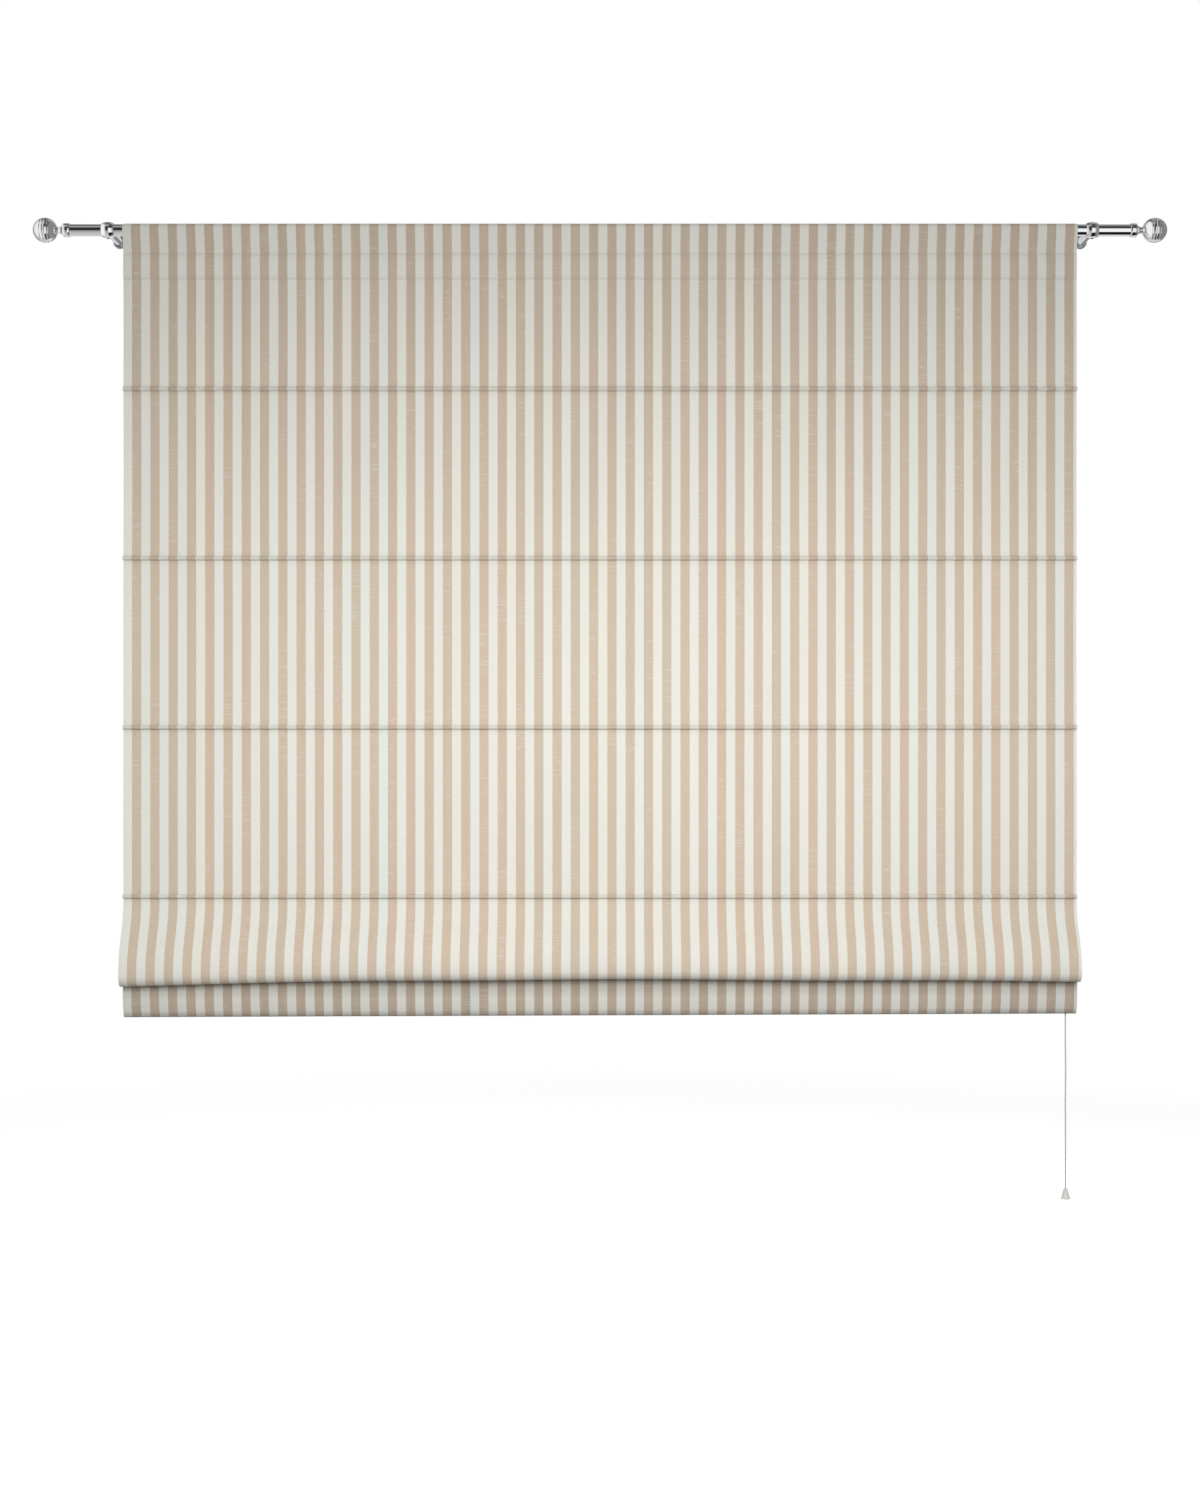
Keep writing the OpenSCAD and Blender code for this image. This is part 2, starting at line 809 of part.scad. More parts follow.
module left_bracket() { on_left() bracket(); }

module right_bracket() { bracket(); }

module left_rosette() { on_left() rosette(); }

module right_rosette() { rosette(); }

module left_grub_screw() { on_left() grub_screw(); }

module right_grub_screw() { grub_screw(); }

rod_tube();
left_end_cap();
right_end_cap();
left_finial();
right_finial();
left_bracket();
right_bracket();
left_rosette();
right_rosette();
left_grub_screw();
right_grub_screw();
blind_cloth();
head_slat();
batten_1();
batten_2();
batten_3();
batten_4();
batten_5();
bottom_bar();
ring_row_1();
ring_row_2();
ring_row_3();
ring_row_4();
ring_row_5();
cord_guides();
lock_housing();
lock_pulley();
lock_pulley_pin();
lock_pawl();
lock_pawl_pin();
lock_screws();
lift_cord_1();
lift_cord_2();
lift_cord_3();
lift_cord_4();
cord_joiner();
pull_cord();
cord_bell();
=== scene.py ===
"""Looks of a striped roman blind on a chrome rod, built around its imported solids."""

import json
import logging
import math
from dataclasses import dataclass, field
from enum import Enum
from typing import Sequence

import bmesh
import bpy
import numpy as np
from bpy.types import ID, Material, Mesh, Node, NodeTree, Object
from bpy.types import NodeSocket as Socket
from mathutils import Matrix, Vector

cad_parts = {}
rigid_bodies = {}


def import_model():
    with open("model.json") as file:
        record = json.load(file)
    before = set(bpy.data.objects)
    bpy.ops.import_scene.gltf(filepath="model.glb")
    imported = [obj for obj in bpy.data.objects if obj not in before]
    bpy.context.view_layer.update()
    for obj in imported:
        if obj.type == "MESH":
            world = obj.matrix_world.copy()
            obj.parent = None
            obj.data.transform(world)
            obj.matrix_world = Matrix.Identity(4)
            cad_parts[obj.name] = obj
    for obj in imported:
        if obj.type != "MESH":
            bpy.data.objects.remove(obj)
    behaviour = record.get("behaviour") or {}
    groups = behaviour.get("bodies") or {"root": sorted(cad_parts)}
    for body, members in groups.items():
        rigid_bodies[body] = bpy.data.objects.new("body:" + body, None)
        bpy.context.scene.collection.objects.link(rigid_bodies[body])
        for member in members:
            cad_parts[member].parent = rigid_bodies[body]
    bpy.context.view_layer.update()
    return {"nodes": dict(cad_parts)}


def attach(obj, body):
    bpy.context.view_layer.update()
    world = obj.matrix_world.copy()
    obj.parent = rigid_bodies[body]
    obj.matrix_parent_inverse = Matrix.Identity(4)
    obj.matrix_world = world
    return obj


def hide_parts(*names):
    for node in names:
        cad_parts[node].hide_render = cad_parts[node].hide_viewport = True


for leftover in list(bpy.data.objects):
    bpy.data.objects.remove(leftover)
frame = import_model()

LOG = logging.getLogger("roman_blind")
MM = 0.001
BODY = "blind"

Point2 = tuple[float, float]
Colour = tuple[float, float, float]


class Axis(Enum):
    """Axis that a turned piece is turned about."""

    X = 0
    Y = 1
    Z = 2


class Side(Enum):
    """Side of the blind, as seen from the room."""

    LEFT = -1
    RIGHT = 1

    @property
    def word(self) -> str:
        """The side's word in names of pieces."""
        return self.name.lower()


class Noise(Enum):
    """Kinds of change over a surface that a finish may have."""

    EVEN = "even"
    BRUSHED = "brushed"
    MOULDED = "moulded"


def linear(red: int, green: int, blue: int) -> Colour:
    """Turns a colour on a screen's scale of 255 into the linear one that shaders take.

    Args:
        red: Red part.
        green: Green part.
        blue: Blue part.

    Returns:
        The linear colour.
    """
    parts = [c / 255 for c in (red, green, blue)]
    return tuple(c / 12.92 if c <= 0.04045 else ((c + 0.055) / 1.055) ** 2.4 for c in parts)


def tinted(colour: Colour, shares: Sequence[float]) -> Colour:
    """Multiplies each part of a colour."""
    return tuple(c * k for c, k in zip(colour, shares))


class Num:
    """A number socket of a node tree, with Python's operators as Math nodes."""

    def __init__(self, tree: NodeTree, socket: Socket) -> None:
        """Wraps a socket of a tree."""
        self.tree = tree
        self.socket = socket

    def maths(self, operation: str, *others: "Num | float", swap: bool = False) -> "Num":
        """Adds a Math node.

        Args:
            operation: Name of the node's operation.
            others: Further operands.
            swap: Whether this value comes last.

        Returns:
            The node's result.
        """
        node = self.tree.nodes.new("ShaderNodeMath")
        node.operation = operation
        terms = (*others, self) if swap else (self, *others)
        for slot, term in zip(node.inputs, terms):
            if isinstance(term, Num):
                self.tree.links.new(term.socket, slot)
            else:
                slot.default_value = term
        return Num(self.tree, node.outputs[0])

    def __add__(self, other: "Num | float") -> "Num":
        """Adds."""
        return self.maths("ADD", other)

    __radd__ = __add__

    def __sub__(self, other: "Num | float") -> "Num":
        """Subtracts."""
        return self.maths("SUBTRACT", other)

    def __rsub__(self, other: float) -> "Num":
        """Subtracts from a number."""
        return self.maths("SUBTRACT", other, swap=True)

    def __mul__(self, other: "Num | float") -> "Num":
        """Multiplies."""
        return self.maths("MULTIPLY", other)

    __rmul__ = __mul__

    def __truediv__(self, other: "Num | float") -> "Num":
        """Divides."""
        return self.maths("DIVIDE", other)

    def __abs__(self) -> "Num":
        """Drops the sign."""
        return self.maths("ABSOLUTE")

    def sine(self) -> "Num":
        """Takes the sine."""
        return self.maths("SINE")

    def fract(self) -> "Num":
        """Keeps the part after the point."""
        return self.maths("FRACT")

    def whole(self) -> "Num":
        """Keeps the part before the point."""
        return self.maths("FLOOR")

    def clamped(self) -> "Num":
        """Keeps the value between 0 and 1."""
        low = self.maths("MAXIMUM", 0.0)
        return low.maths("MINIMUM", 1.0)

    def above(self, low: float, high: float) -> "Num":
        """Rises from 0 at low to 1 at high."""
        return ((self - low) / (high - low)).clamped()

    def near(self, centre: float, reach: float) -> "Num":
        """Is 1 at centre and falls to 0 at reach on either side."""
        return (1 - abs(self - centre) / reach).clamped()

    def near_any(self, centres: Sequence[float], reach: float) -> "Num":
        """Adds up what near gives for each of some centres."""
        first, *rest = (self.near(centre, reach) for centre in centres)
        return sum(rest, first)


def weighed(*parts: tuple[Num, float]) -> Num:
    """Adds up numbers, each by its share."""
    first, *rest = (number * share for number, share in parts)
    return sum(rest, first)


@dataclass(frozen=True)
class Grain:
    """A noise over a surface."""

    scale: tuple[float, ...]  # What each coordinate is multiplied by.
    detail: float  # How many finer layers it has.
    band: Point2 = (0.0, 1.0)  # Levels where it starts to mark something and where the mark is full.
    layer: float = 0.0  # Third coordinate, where there are only two.


class NodeMaker:
    """A node tree whose nodes are made by one method."""

    def __init__(self, tree: NodeTree) -> None:
        """Takes a tree."""
        self.tree = tree

    def node(self, kind: str, settings: dict | None = None, **sockets: object) -> Node:
        """Adds a node.

        Args:
            kind: Type of the node.
            settings: Properties, which are set first.
            sockets: Values or links of its inputs, with _ for a space in a name.

        Returns:
            The node.
        """
        made = self.tree.nodes.new(kind)
        for name, value in (settings or {}).items():
            setattr(made, name, value)
        for name, value in sockets.items():
            self.put(made.inputs[name.replace("_", " ")], value)
        return made

    def put(self, socket: Socket, value: object) -> None:
        """Links a socket to a value's socket, or sets it."""
        if isinstance(value, Num):
            value = value.socket
        if isinstance(value, Socket):
            self.tree.links.new(value, socket)
        elif isinstance(value, tuple) and socket.type == "RGBA":
            socket.default_value = (*value[:3], 1.0)
        else:
            socket.default_value = value

    def num(self, node: Node, output: str | int = 0) -> Num:
        """Wraps an output of a node."""
        return Num(self.tree, node.outputs[output])

    def axes(self, vector: Socket) -> tuple[Num, Num, Num]:
        """Splits a vector into its three numbers."""
        split = self.node("ShaderNodeSeparateXYZ", Vector=vector)
        return self.num(split, 0), self.num(split, 1), self.num(split, 2)


class Shader(NodeMaker):
    """A material with one surface shader."""

    def __init__(self, name: str) -> None:
        """Makes the material."""
        self.material = bpy.data.materials.new(name)
        self.material.use_nodes = True
        super().__init__(self.material.node_tree)
        self.tree.nodes.clear()
        self.surface = self.node("ShaderNodeBsdfPrincipled")
        self.out = self.node("ShaderNodeOutputMaterial", Surface=self.surface.outputs[0])

    def dress(self, **sockets: object) -> None:
        """Sets or links the surface shader's sockets."""
        for name, value in sockets.items():
            self.put(self.surface.inputs[name.replace("_", " ")], value)

    def place(self) -> tuple[Num, Num, Num]:
        """Gives the Object coordinates."""
        return self.axes(self.node("ShaderNodeTexCoord").outputs["Object"])

    def noise(self, place: Sequence[Num], grain: Grain) -> Num:
        """Gives smooth noise from 0 to 1.

        Args:
            place: One to three coordinates.
            grain: The noise.

        Returns:
            Its level.
        """
        parts = [p * s for p, s in zip(place, grain.scale)]
        x, y, z = *parts, *(0.0, grain.layer)[len(parts) - 1:]
        vector = self.node("ShaderNodeCombineXYZ", X=x, Y=y, Z=z).outputs[0]
        made = self.node("ShaderNodeTexNoise", Vector=vector, Scale=1.0, Detail=grain.detail)
        return self.num(made)

    def marks(self, place: Sequence[Num], grain: Grain) -> Num:
        """Gives how much a noise marks a place."""
        return self.noise(place, grain).above(*grain.band)

    def mixed(self, share: Num, first: object, second: object) -> Socket:
        """Mixes two colours by a share."""
        made = self.node("ShaderNodeMix", {"data_type": "RGBA"})
        self.put(made.inputs[0], share)
        self.put(made.inputs[6], first)
        self.put(made.inputs[7], second)
        return made.outputs[2]

    def bumped(self, height: Num, distance: float, strength: float) -> Socket:
        """Turns a height into a normal."""
        made = self.node("ShaderNodeBump", Strength=strength, Distance=distance, Height=height)
        return made.outputs[0]


@dataclass(frozen=True)
class Finish:
    """A finish, which is built into a material."""

    name: str  # Name of the material.

    def look(self, sh: Shader) -> dict[str, object]:
        """Gives the surface shader's sockets."""
        raise NotImplementedError

    def build(self) -> Material:
        """Builds the material."""
        sh = Shader(self.name)
        sh.dress(**self.look(sh))
        return sh.material


@dataclass(frozen=True)
class Runs:
    """Places along the flat cloth, in metres from its upper end at the back."""

    seams: tuple[float, ...]  # The two stitch lines of the head.
    tucks: tuple[float, ...]  # The open tucks.
    fold: float  # Bottom of the hanging fold.
    edge: float  # Lower edge of the hem.


@dataclass(frozen=True)
class Shade:
    """A darker place on the cloth: painted shade, or the band inside a deep stripe's sides."""

    share: float  # How dark it is at its middle.
    reach: float  # How far it reaches on either side.

    def at(self, along: Num, *centres: float) -> Num:
        """Gives the shade around some places."""
        return along.near_any(centres, self.reach) * self.share


@dataclass(frozen=True)
class Weave:
    """Numbers of the cloth's pattern that its colour and its height share."""

    u: Num  # Place across the cloth, in metres.
    v: Num  # Place along the cloth, in metres.
    turn: Num  # Place across, counted in pairs of stripes.
    inside: Num  # How far inside a deep stripe a place lies, as a share of the pair.
    stripe: Num  # 1 on a deep stripe and 0 on a pale one.
    slub: Num  # Thick and thin places of the level threads.
    tick: Num  # Short pale threads in the deep stripes.
    fine: Num  # The yarn's own roughness.
    threads: Num  # Crossing of upright and level threads.
    behind: Num  # 1 on the hem and its upper part, behind the hanging fold, where painted shade darkens it.


@dataclass(frozen=True)
class StripedCloth(Finish):
    """Woven cloth with upright stripes, on its own flat coordinates. Sizes are in metres."""

    pale: Colour  # Colour of the pale stripes.
    deep: Colour  # Colour of the deeper stripes.
    runs: Runs  # Where its seams and folds lie along it.
    repeat: float = 0.02493  # Width of one pair of stripes.
    left: float = -0.6506  # Where the first pale stripe starts.
    soft: float = 0.0007  # Width over which one stripe passes into the next.
    fray: float = 0.0009  # How far a stripe's side wanders.
    warp: float = 0.00056  # Distance between upright threads.
    weft: float = 0.00062  # Distance between level threads.

    # Noises over the flat cloth.
    FRAY = Grain((500, 900), 1.0)
    LOT = Grain((3.7,), 0.0, (0.3, 0.7))
    CLOUD = Grain((7, 4), 3.0, (0.45, 0.75))
    SLUB = Grain((70, 1300), 2.0)
    PATCH = Grain((40, 10), 1.0, (0.52, 0.62))
    TICK = Grain((34, 430), 1.0, (0.55, 0.68), 3.0)
    FINE = Grain((1500, 1500), 1.0)
    HUE = Grain((110, 2.5), 1.0, (0.35, 0.65), 7.0)
    PUCKER = Grain((95, 22), 1.0)

    # Levels where a thread is thick, thin, sunk or rough.
    THICK = (0.6, 0.74)
    THIN = (0.4, 0.28)
    SUNK = (0.2, -0.9)
    ROUGH = (0.5, 0.8)

    # Tints of the stripes, as shares of red, green and blue, with the painted shade of the deep ones.
    CREAM = (1.012, 0.98, 0.91)
    COOL = (0.94, 0.992, 1.012)
    ROSY = (1.04, 0.965, 0.955)
    OLIVE = (0.96, 0.99, 0.97)
    # Painted shade of the deep stripes, where less light comes through the cloth.
    CLOSE = (0.80, 0.79, 0.80)
    WARM_PALE = (1.0, 0.975, 0.955)
    WARM_DEEP = (1.0, 0.95, 0.94)
    HIGH = 1.08
    SHADOW = (0.12, 0.10, 0.08)

    DARKENS = (-0.55, 0.03)  # Heights between which painted shade darkens the deep stripes, darker towards the top.
    BEHIND = (-0.16, -0.13)  # Off the edge, where the part behind the fold starts.
    PULL = 0.022  # How far beside a seam the cloth puckers.

    # Painted shade along the cloth, at seams, tucks, the fold's bottom, under the fold and at the hem's
    # edge, and the darker band inside a deep stripe's sides.
    SEAM = Shade(0.1, 0.003)
    TUCK = Shade(0.17, 0.019)
    FOLD = Shade(0.13, 0.03)
    UNDER = Shade(0.36, 0.022)
    UNDER_UP = 0.048  # How far above the hem's edge the painted shadow under the fold lies.
    EDGE = Shade(0.5, 0.011)
    BORDER = Shade(0.06, 0.045)

    def weave(self, sh: Shader) -> Weave:
        """Adds the nodes of the pattern.

        Args:
            sh: The cloth's shader.

        Returns:
            The pattern's numbers.
        """
        flat = sh.node("ShaderNodeAttribute", {"attribute_name": "flat"}).outputs["Vector"]
        u, v, _ = sh.axes(flat)
        wander = (sh.noise((u, v), self.FRAY) - 0.5) * self.fray
        turn = (u + wander - self.left) / self.repeat
        inside = 0.25 - abs((turn - 0.25).fract() - 0.5)
        stripe = (inside * (self.repeat / self.soft) + 0.5).clamped()
        tick = sh.marks((u, v), self.TICK) * sh.marks((u, v), self.PATCH) * stripe
        threads = (u * (math.tau / self.warp)).sine() * (v * (math.tau / self.weft)).sine()
        behind = v.above(*(self.runs.edge + start for start in self.BEHIND))
        slub, fine = sh.noise((u, v), self.SLUB), sh.noise((u, v), self.FINE)
        return Weave(u, v, turn, inside, stripe, slub, tick, fine, threads, behind)

    def ground(self, sh: Shader, w: Weave) -> Socket:
        """Colours the stripes and their threads.

        Args:
            sh: The cloth's shader.
            w: The pattern's numbers.

        Returns:
            The colour before any shade.
        """
        lot = sh.marks(((w.turn * 2).whole(),), self.LOT)
        pale = sh.mixed(lot, tinted(self.pale, self.CREAM), tinted(self.pale, self.COOL))
        deep = sh.mixed(lot, tinted(self.deep, self.ROSY), tinted(self.deep, self.OLIVE))
        # Painted shade: the deep stripes darken towards the top and on the hem behind the fold.
        painted_shade = sh.place()[2].above(*self.DARKENS) + w.behind
        deep = sh.mixed(painted_shade.clamped() * 0.55, deep, tinted(self.deep, self.CLOSE))
        base = sh.mixed(w.stripe, pale, deep)
        warm = sh.mixed(w.stripe, tinted(self.pale, self.WARM_PALE), tinted(self.deep, self.WARM_DEEP))
        base = sh.mixed(sh.marks((w.u, w.v), self.HUE) * 0.7, base, warm)
        bright = tuple(min(1.0, c * self.HIGH) for c in self.pale)
        lit = weighed((w.slub.above(*self.THICK), 0.3), (w.tick, 0.22))
        return sh.mixed(lit.clamped(), base, bright)

    def shade(self, sh: Shader, w: Weave) -> Num:
        """Adds up what darkens the cloth: its threads' own tone, and painted shade at its seams, tucks,
        fold and hem.

        Args:
            sh: The cloth's shader.
            w: The pattern's numbers.

        Returns:
            The share of shadow.
        """
        runs, v = self.runs, w.v
        dim = weighed(
            (w.threads.above(*self.SUNK), 0.07),
            (w.slub.above(*self.THIN), 0.06),
            (sh.marks((w.u, v), self.CLOUD), 0.035),
            (w.fine.above(*self.ROUGH), 0.04),
            # Painted shade on the hem behind the hanging fold.
            (w.behind, 0.11),
            (w.behind * w.stripe, 0.07),
        )
        dim = dim + self.BORDER.at(w.inside, 0.0) * w.stripe
        # Painted shade along the seams and tucks, at the fold's bottom, under the fold and at the hem's
        # edge.
        dim = dim + self.SEAM.at(v, *runs.seams) + self.TUCK.at(v, *runs.tucks)
        dim = dim + self.FOLD.at(v, runs.fold) + self.UNDER.at(v, runs.edge - self.UNDER_UP)
        return (dim + self.EDGE.at(v, runs.edge)).clamped()

    def normal(self, sh: Shader, w: Weave) -> Socket:
        """Raises the threads and puckers the cloth beside its seams.

        Args:
            sh: The cloth's shader.
            w: The pattern's numbers.

        Returns:
            The normal.
        """
        height = weighed((w.threads, 0.16), (w.slub, 0.55), (w.fine, 0.2), (w.tick, 0.35))
        raised = sh.bumped(height, 0.00035, 0.8)
        pull = w.v.near_any((*self.runs.seams, *self.runs.tucks), self.PULL)
        pucker = (sh.noise((w.u, w.v), self.PUCKER) - 0.5) * pull
        full = sh.node("ShaderNodeBump", Strength=0.7, Distance=0.0016, Height=pucker, Normal=raised)
        return full.outputs[0]

    def look(self, sh: Shader) -> dict[str, object]:
        """Gives the surface shader's sockets."""
        w = self.weave(sh)
        return dict(
            Base_Color=sh.mixed(self.shade(sh, w), self.ground(sh, w), self.SHADOW),
            Roughness=0.84 + w.fine * 0.12,
            Normal=self.normal(sh, w),
            Sheen_Weight=0.08,
            Sheen_Roughness=0.5,
            Specular_IOR_Level=0.25,
        )


@dataclass(frozen=True)
class Chrome(Finish):
    """Polished chrome plate with faint smears and hairlines."""

    tint: Colour  # Colour of the plate.
    gloss: float  # Roughness where it is clean.

    SMEAR = Grain((35, 60, 60), 3.0)
    HAIR = Grain((3200, 160, 160), 1.0)
    PIT = Grain((900, 900, 900), 1.0)
    WORN = 0.86

    def look(self, sh: Shader) -> dict[str, object]:
        """Gives the surface shader's sockets."""
        place = sh.place()
        smear, hair, pit = (sh.noise(place, grain) for grain in (self.SMEAR, self.HAIR, self.PIT))
        worn = tuple(c * self.WORN for c in self.tint)
        return dict(
            Base_Color=sh.mixed(smear.above(0.5, 0.75) * 0.5, self.tint, worn),
            Metallic=1.0,
            Roughness=self.gloss + weighed((smear.above(0.45, 0.8), 0.05), (hair.above(0.6, 0.8), 0.05)),
            Normal=sh.bumped(weighed((hair, 0.6), (pit, 0.4)), 0.00002, 0.6),
        )


@dataclass(frozen=True)
class PlainFinish(Finish):
    """A finish of one colour with small changes of tone, gloss and height."""

    tint: Colour  # Its colour.
    shade: Colour  # Colour of its darker patches.
    rough: float  # Roughness of its middle tone.
    metal: float  # 1 for metal and 0 for the rest.
    kind: Noise  # How it changes over the surface.
    size: float  # Size of its texture, in metres.

    PATCH = Grain((60, 60, 60), 3.0)
    ALONG = {Noise.EVEN: 1.0, Noise.BRUSHED: 0.05, Noise.MOULDED: 1.0}
    LIFT = {Noise.EVEN: 0.00004, Noise.BRUSHED: 0.00008, Noise.MOULDED: 0.00008}

    def look(self, sh: Shader) -> dict[str, object]:
        """Gives the surface shader's sockets."""
        place = sh.place()
        fine = 1 / self.size
        grain = sh.noise(place, Grain((fine * self.ALONG[self.kind], fine, fine), 2.0))
        patch = sh.noise(place, self.PATCH)
        share = weighed((patch.above(0.4, 0.7), 0.4), (grain.above(0.5, 0.8), 0.4))
        return dict(
            Base_Color=sh.mixed(share.clamped(), self.tint, self.shade),
            Metallic=self.metal,
            Roughness=self.rough + weighed((grain - 0.5, 0.16), (patch - 0.5, 0.1)),
            Normal=sh.bumped(grain, self.LIFT[self.kind], 0.7),
        )


@dataclass(frozen=True)
class Pine(Finish):
    """Planed softwood with its grain along the slat."""

    early: Colour  # Colour of the pale wood.
    late: Colour  # Colour of the darker rings.

    SWAY = Grain((3, 30, 30), 2.0)
    FIBRE = Grain((40, 2600, 2600), 2.0)

    def look(self, sh: Shader) -> dict[str, object]:
        """Gives the surface shader's sockets."""
        place = sh.place()
        sway, fibre = sh.noise(place, self.SWAY), sh.noise(place, self.FIBRE)
        growth = weighed((place[2], 900), (place[1], 300), (sway, 9))
        rings = (growth.sine() * 0.5 + 0.5).above(0.35, 0.95)
        share = weighed((rings, 0.65), (fibre.above(0.5, 0.8), 0.35))
        return dict(
            Base_Color=sh.mixed(share.clamped(), self.early, self.late),
            Roughness=0.62 + fibre * 0.2,
            Normal=sh.bumped(weighed((fibre, 0.7), (rings, -0.3)), 0.00008, 0.7),
        )


@dataclass(frozen=True)
class BraidedCord(Finish):
    """White braided cord, with its plait on slanting waves."""

    tint: Colour  # Colour of the yarn.
    gap: Colour  # Colour in the plait's hollows between the yarns: painted shade.
    lay: float  # Length of one plait, in metres.

    FUZZ = Grain((2500, 2500, 2500), 2.0)

    def look(self, sh: Shader) -> dict[str, object]:
        """Gives the surface shader's sockets."""
        x, y, z = place = sh.place()
        along = (x + z) * (math.tau / self.lay)
        across = (x - z + y * 2) * (math.tau / self.lay)
        plait = (along.sine() * across.sine()) * 0.5 + 0.5
        fuzz = sh.noise(place, self.FUZZ)
        # Painted shade where the plait sinks between the yarns.
        share = weighed((plait.above(0.45, 0.0), 0.6), (fuzz.above(0.5, 0.8), 0.3))
        return dict(
            Base_Color=sh.mixed(share.clamped(), self.tint, self.gap),
            Roughness=0.8 + fuzz * 0.15,
            Normal=sh.bumped(plait + fuzz * 0.4, 0.00012, 0.8),
            Sheen_Weight=0.1,
        )


@dataclass
class Finishes:
    """Every material of the blind, made once."""

    made: dict[str, Material] = field(default_factory=dict)  # Materials by their slot's name.

    def build(self, runs: Runs) -> None:
        """Makes the materials.

        Args:
            runs: Where the cloth's seams and folds lie along it.
        """
        white, off_white, ivory = linear(240, 240, 235), linear(214, 214, 206), linear(238, 238, 232)
        zinc, dull_zinc = linear(196, 198, 200), linear(150, 152, 155)
        mill, dull_mill = linear(200, 202, 204), linear(170, 172, 174)
        recipes = (
            StripedCloth("striped_cloth", linear(236, 235, 228), linear(211, 196, 176), runs),
            Chrome("chrome", linear(243, 244, 246), 0.05),
            Chrome("satin_chrome", linear(240, 241, 243), 0.14),
            Chrome("dull_chrome", linear(172, 174, 178), 0.16),
            PlainFinish("steel", zinc, dull_zinc, 0.32, 1.0, Noise.EVEN, 0.0012),
            PlainFinish("bar", mill, dull_mill, 0.42, 1.0, Noise.BRUSHED, 0.0006),
            Pine("pine", linear(226, 196, 150), linear(186, 140, 88)),
            PlainFinish("fibreglass", white, off_white, 0.5, 0.0, Noise.BRUSHED, 0.0005),
            PlainFinish("ring_plastic", white, off_white, 0.24, 0.0, Noise.MOULDED, 0.0014),
            PlainFinish("lock_plastic", ivory, off_white, 0.46, 0.0, Noise.MOULDED, 0.0008),
            BraidedCord("white_cord", linear(218, 218, 212), linear(146, 144, 136), 0.0022),
            BraidedCord("thread", linear(222, 212, 198), linear(160, 148, 132), 0.0009),
        )
        for recipe in recipes:
            self.made[recipe.name] = recipe.build()
            LOG.info("finish %s", recipe.name)

    def __getitem__(self, name: str) -> Material:
        """Gives a material by its slot's name."""
        return self.made[name]


def linked(name: str, data: ID) -> Object:
    """Makes an object of its data and adds it to the scene."""
    made = bpy.data.objects.new(name, data)
    bpy.context.scene.collection.objects.link(made)
    return made


def new_piece(name: str, mesh: Mesh, material: Material) -> Object:
    """Makes a piece of a mesh, at the origin.

    Args:
        name: Name of the piece.
        mesh: Its mesh, in metres.
        material: Its material.

    Returns:
        The piece's object.
    """
    mesh.name = name
    mesh.materials.clear()
    mesh.materials.append(material)
    return linked(name, mesh)


def carry(piece: Object, slot: str, *nodes: str) -> Object:
    """Lets a piece ride on the blind and stand for the nodes that it replaces.

    Args:
        piece: The piece.
        slot: Name of its material slot in the record; not used.
        nodes: Nodes that it stands for.

    Returns:
        The same piece.
    """
    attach(piece, BODY)
    if nodes:
        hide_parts(*nodes)
    LOG.info("piece %s: %d faces", piece.name, len(piece.data.polygons))
    return piece


def smooth(mesh: Mesh, angle: float = 32.0) -> None:
    """Shades a mesh smoothly, apart from edges sharper than an angle in degrees."""
    mesh.polygons.foreach_set("use_smooth", [True] * len(mesh.polygons))
    mesh.set_sharp_from_angle(angle=math.radians(angle))
    mesh.update()


def closed(name: str, bm: bmesh.types.BMesh, angle: float = 32.0) -> Mesh:
    """Makes a mesh of a closed shape, with its faces outwards.

    Args:
        name: Name of the mesh.
        bm: The shape, which is freed.
        angle: Edges sharper than this many degrees stay sharp.

    Returns:
        The mesh.
    """
    bmesh.ops.recalc_face_normals(bm, faces=bm.faces)
    mesh = bpy.data.meshes.new(name)
    bm.to_mesh(mesh)
    bm.free()
    smooth(mesh, angle)
    return mesh


def turned(
    profile: Sequence[Point2], axis: Axis, centre: Sequence[float], sides: int, ring: bool = False
) -> Mesh:
    """Turns a profile about an axis.

    Args:
        profile: Points of radius and distance along the axis, in millimetres.
        axis: Axis to turn about.
        centre: Where distance 0 lies, in millimetres.
        sides: Number of steps around.
        ring: Whether the last point joins the first.

    Returns:
        A closed mesh in metres.
    """
    bm = bmesh.new()
    first, second = [(1, 2), (2, 0), (0, 1)][axis.value]
    rows = []
    for radius, along in profile:
        count = 1 if radius < 1e-6 else sides
        row = []
        for k in range(count):
            a = math.tau * k / sides
            p = [0.0, 0.0, 0.0]
            p[axis.value] = along
            p[first] = radius * math.cos(a)
            p[second] = radius * math.sin(a)
            row.append(bm.verts.new([(p[i] + centre[i]) * MM for i in range(3)]))
        rows.append(row)
    pairs = list(zip(rows, rows[1:])) + ([(rows[-1], rows[0])] if ring else [])
    for a, b in pairs:
        for k in range(sides):
            j = k + 1
            corner = [a[k % len(a)], a[j % len(a)], b[j % len(b)], b[k % len(b)]]
            corner = list(dict.fromkeys(corner))
            if len(corner) > 2:
                bm.faces.new(corner)
    return closed("turned", bm)


def arc(c: Point2, r: float, a0: float, a1: float, n: int) -> list[Point2]:
    """Gives the points of an arc, with both ends.

    Args:
        c: Centre.
        r: Radius.
        a0: First angle, in degrees.
        a1: Last angle, in degrees.
        n: Number of steps.

    Returns:
        The points.
    """
    angles = [math.radians(a0 + (a1 - a0) * i / n) for i in range(n + 1)]
    return [(c[0] + r * math.cos(a), c[1] + r * math.sin(a)) for a in angles]


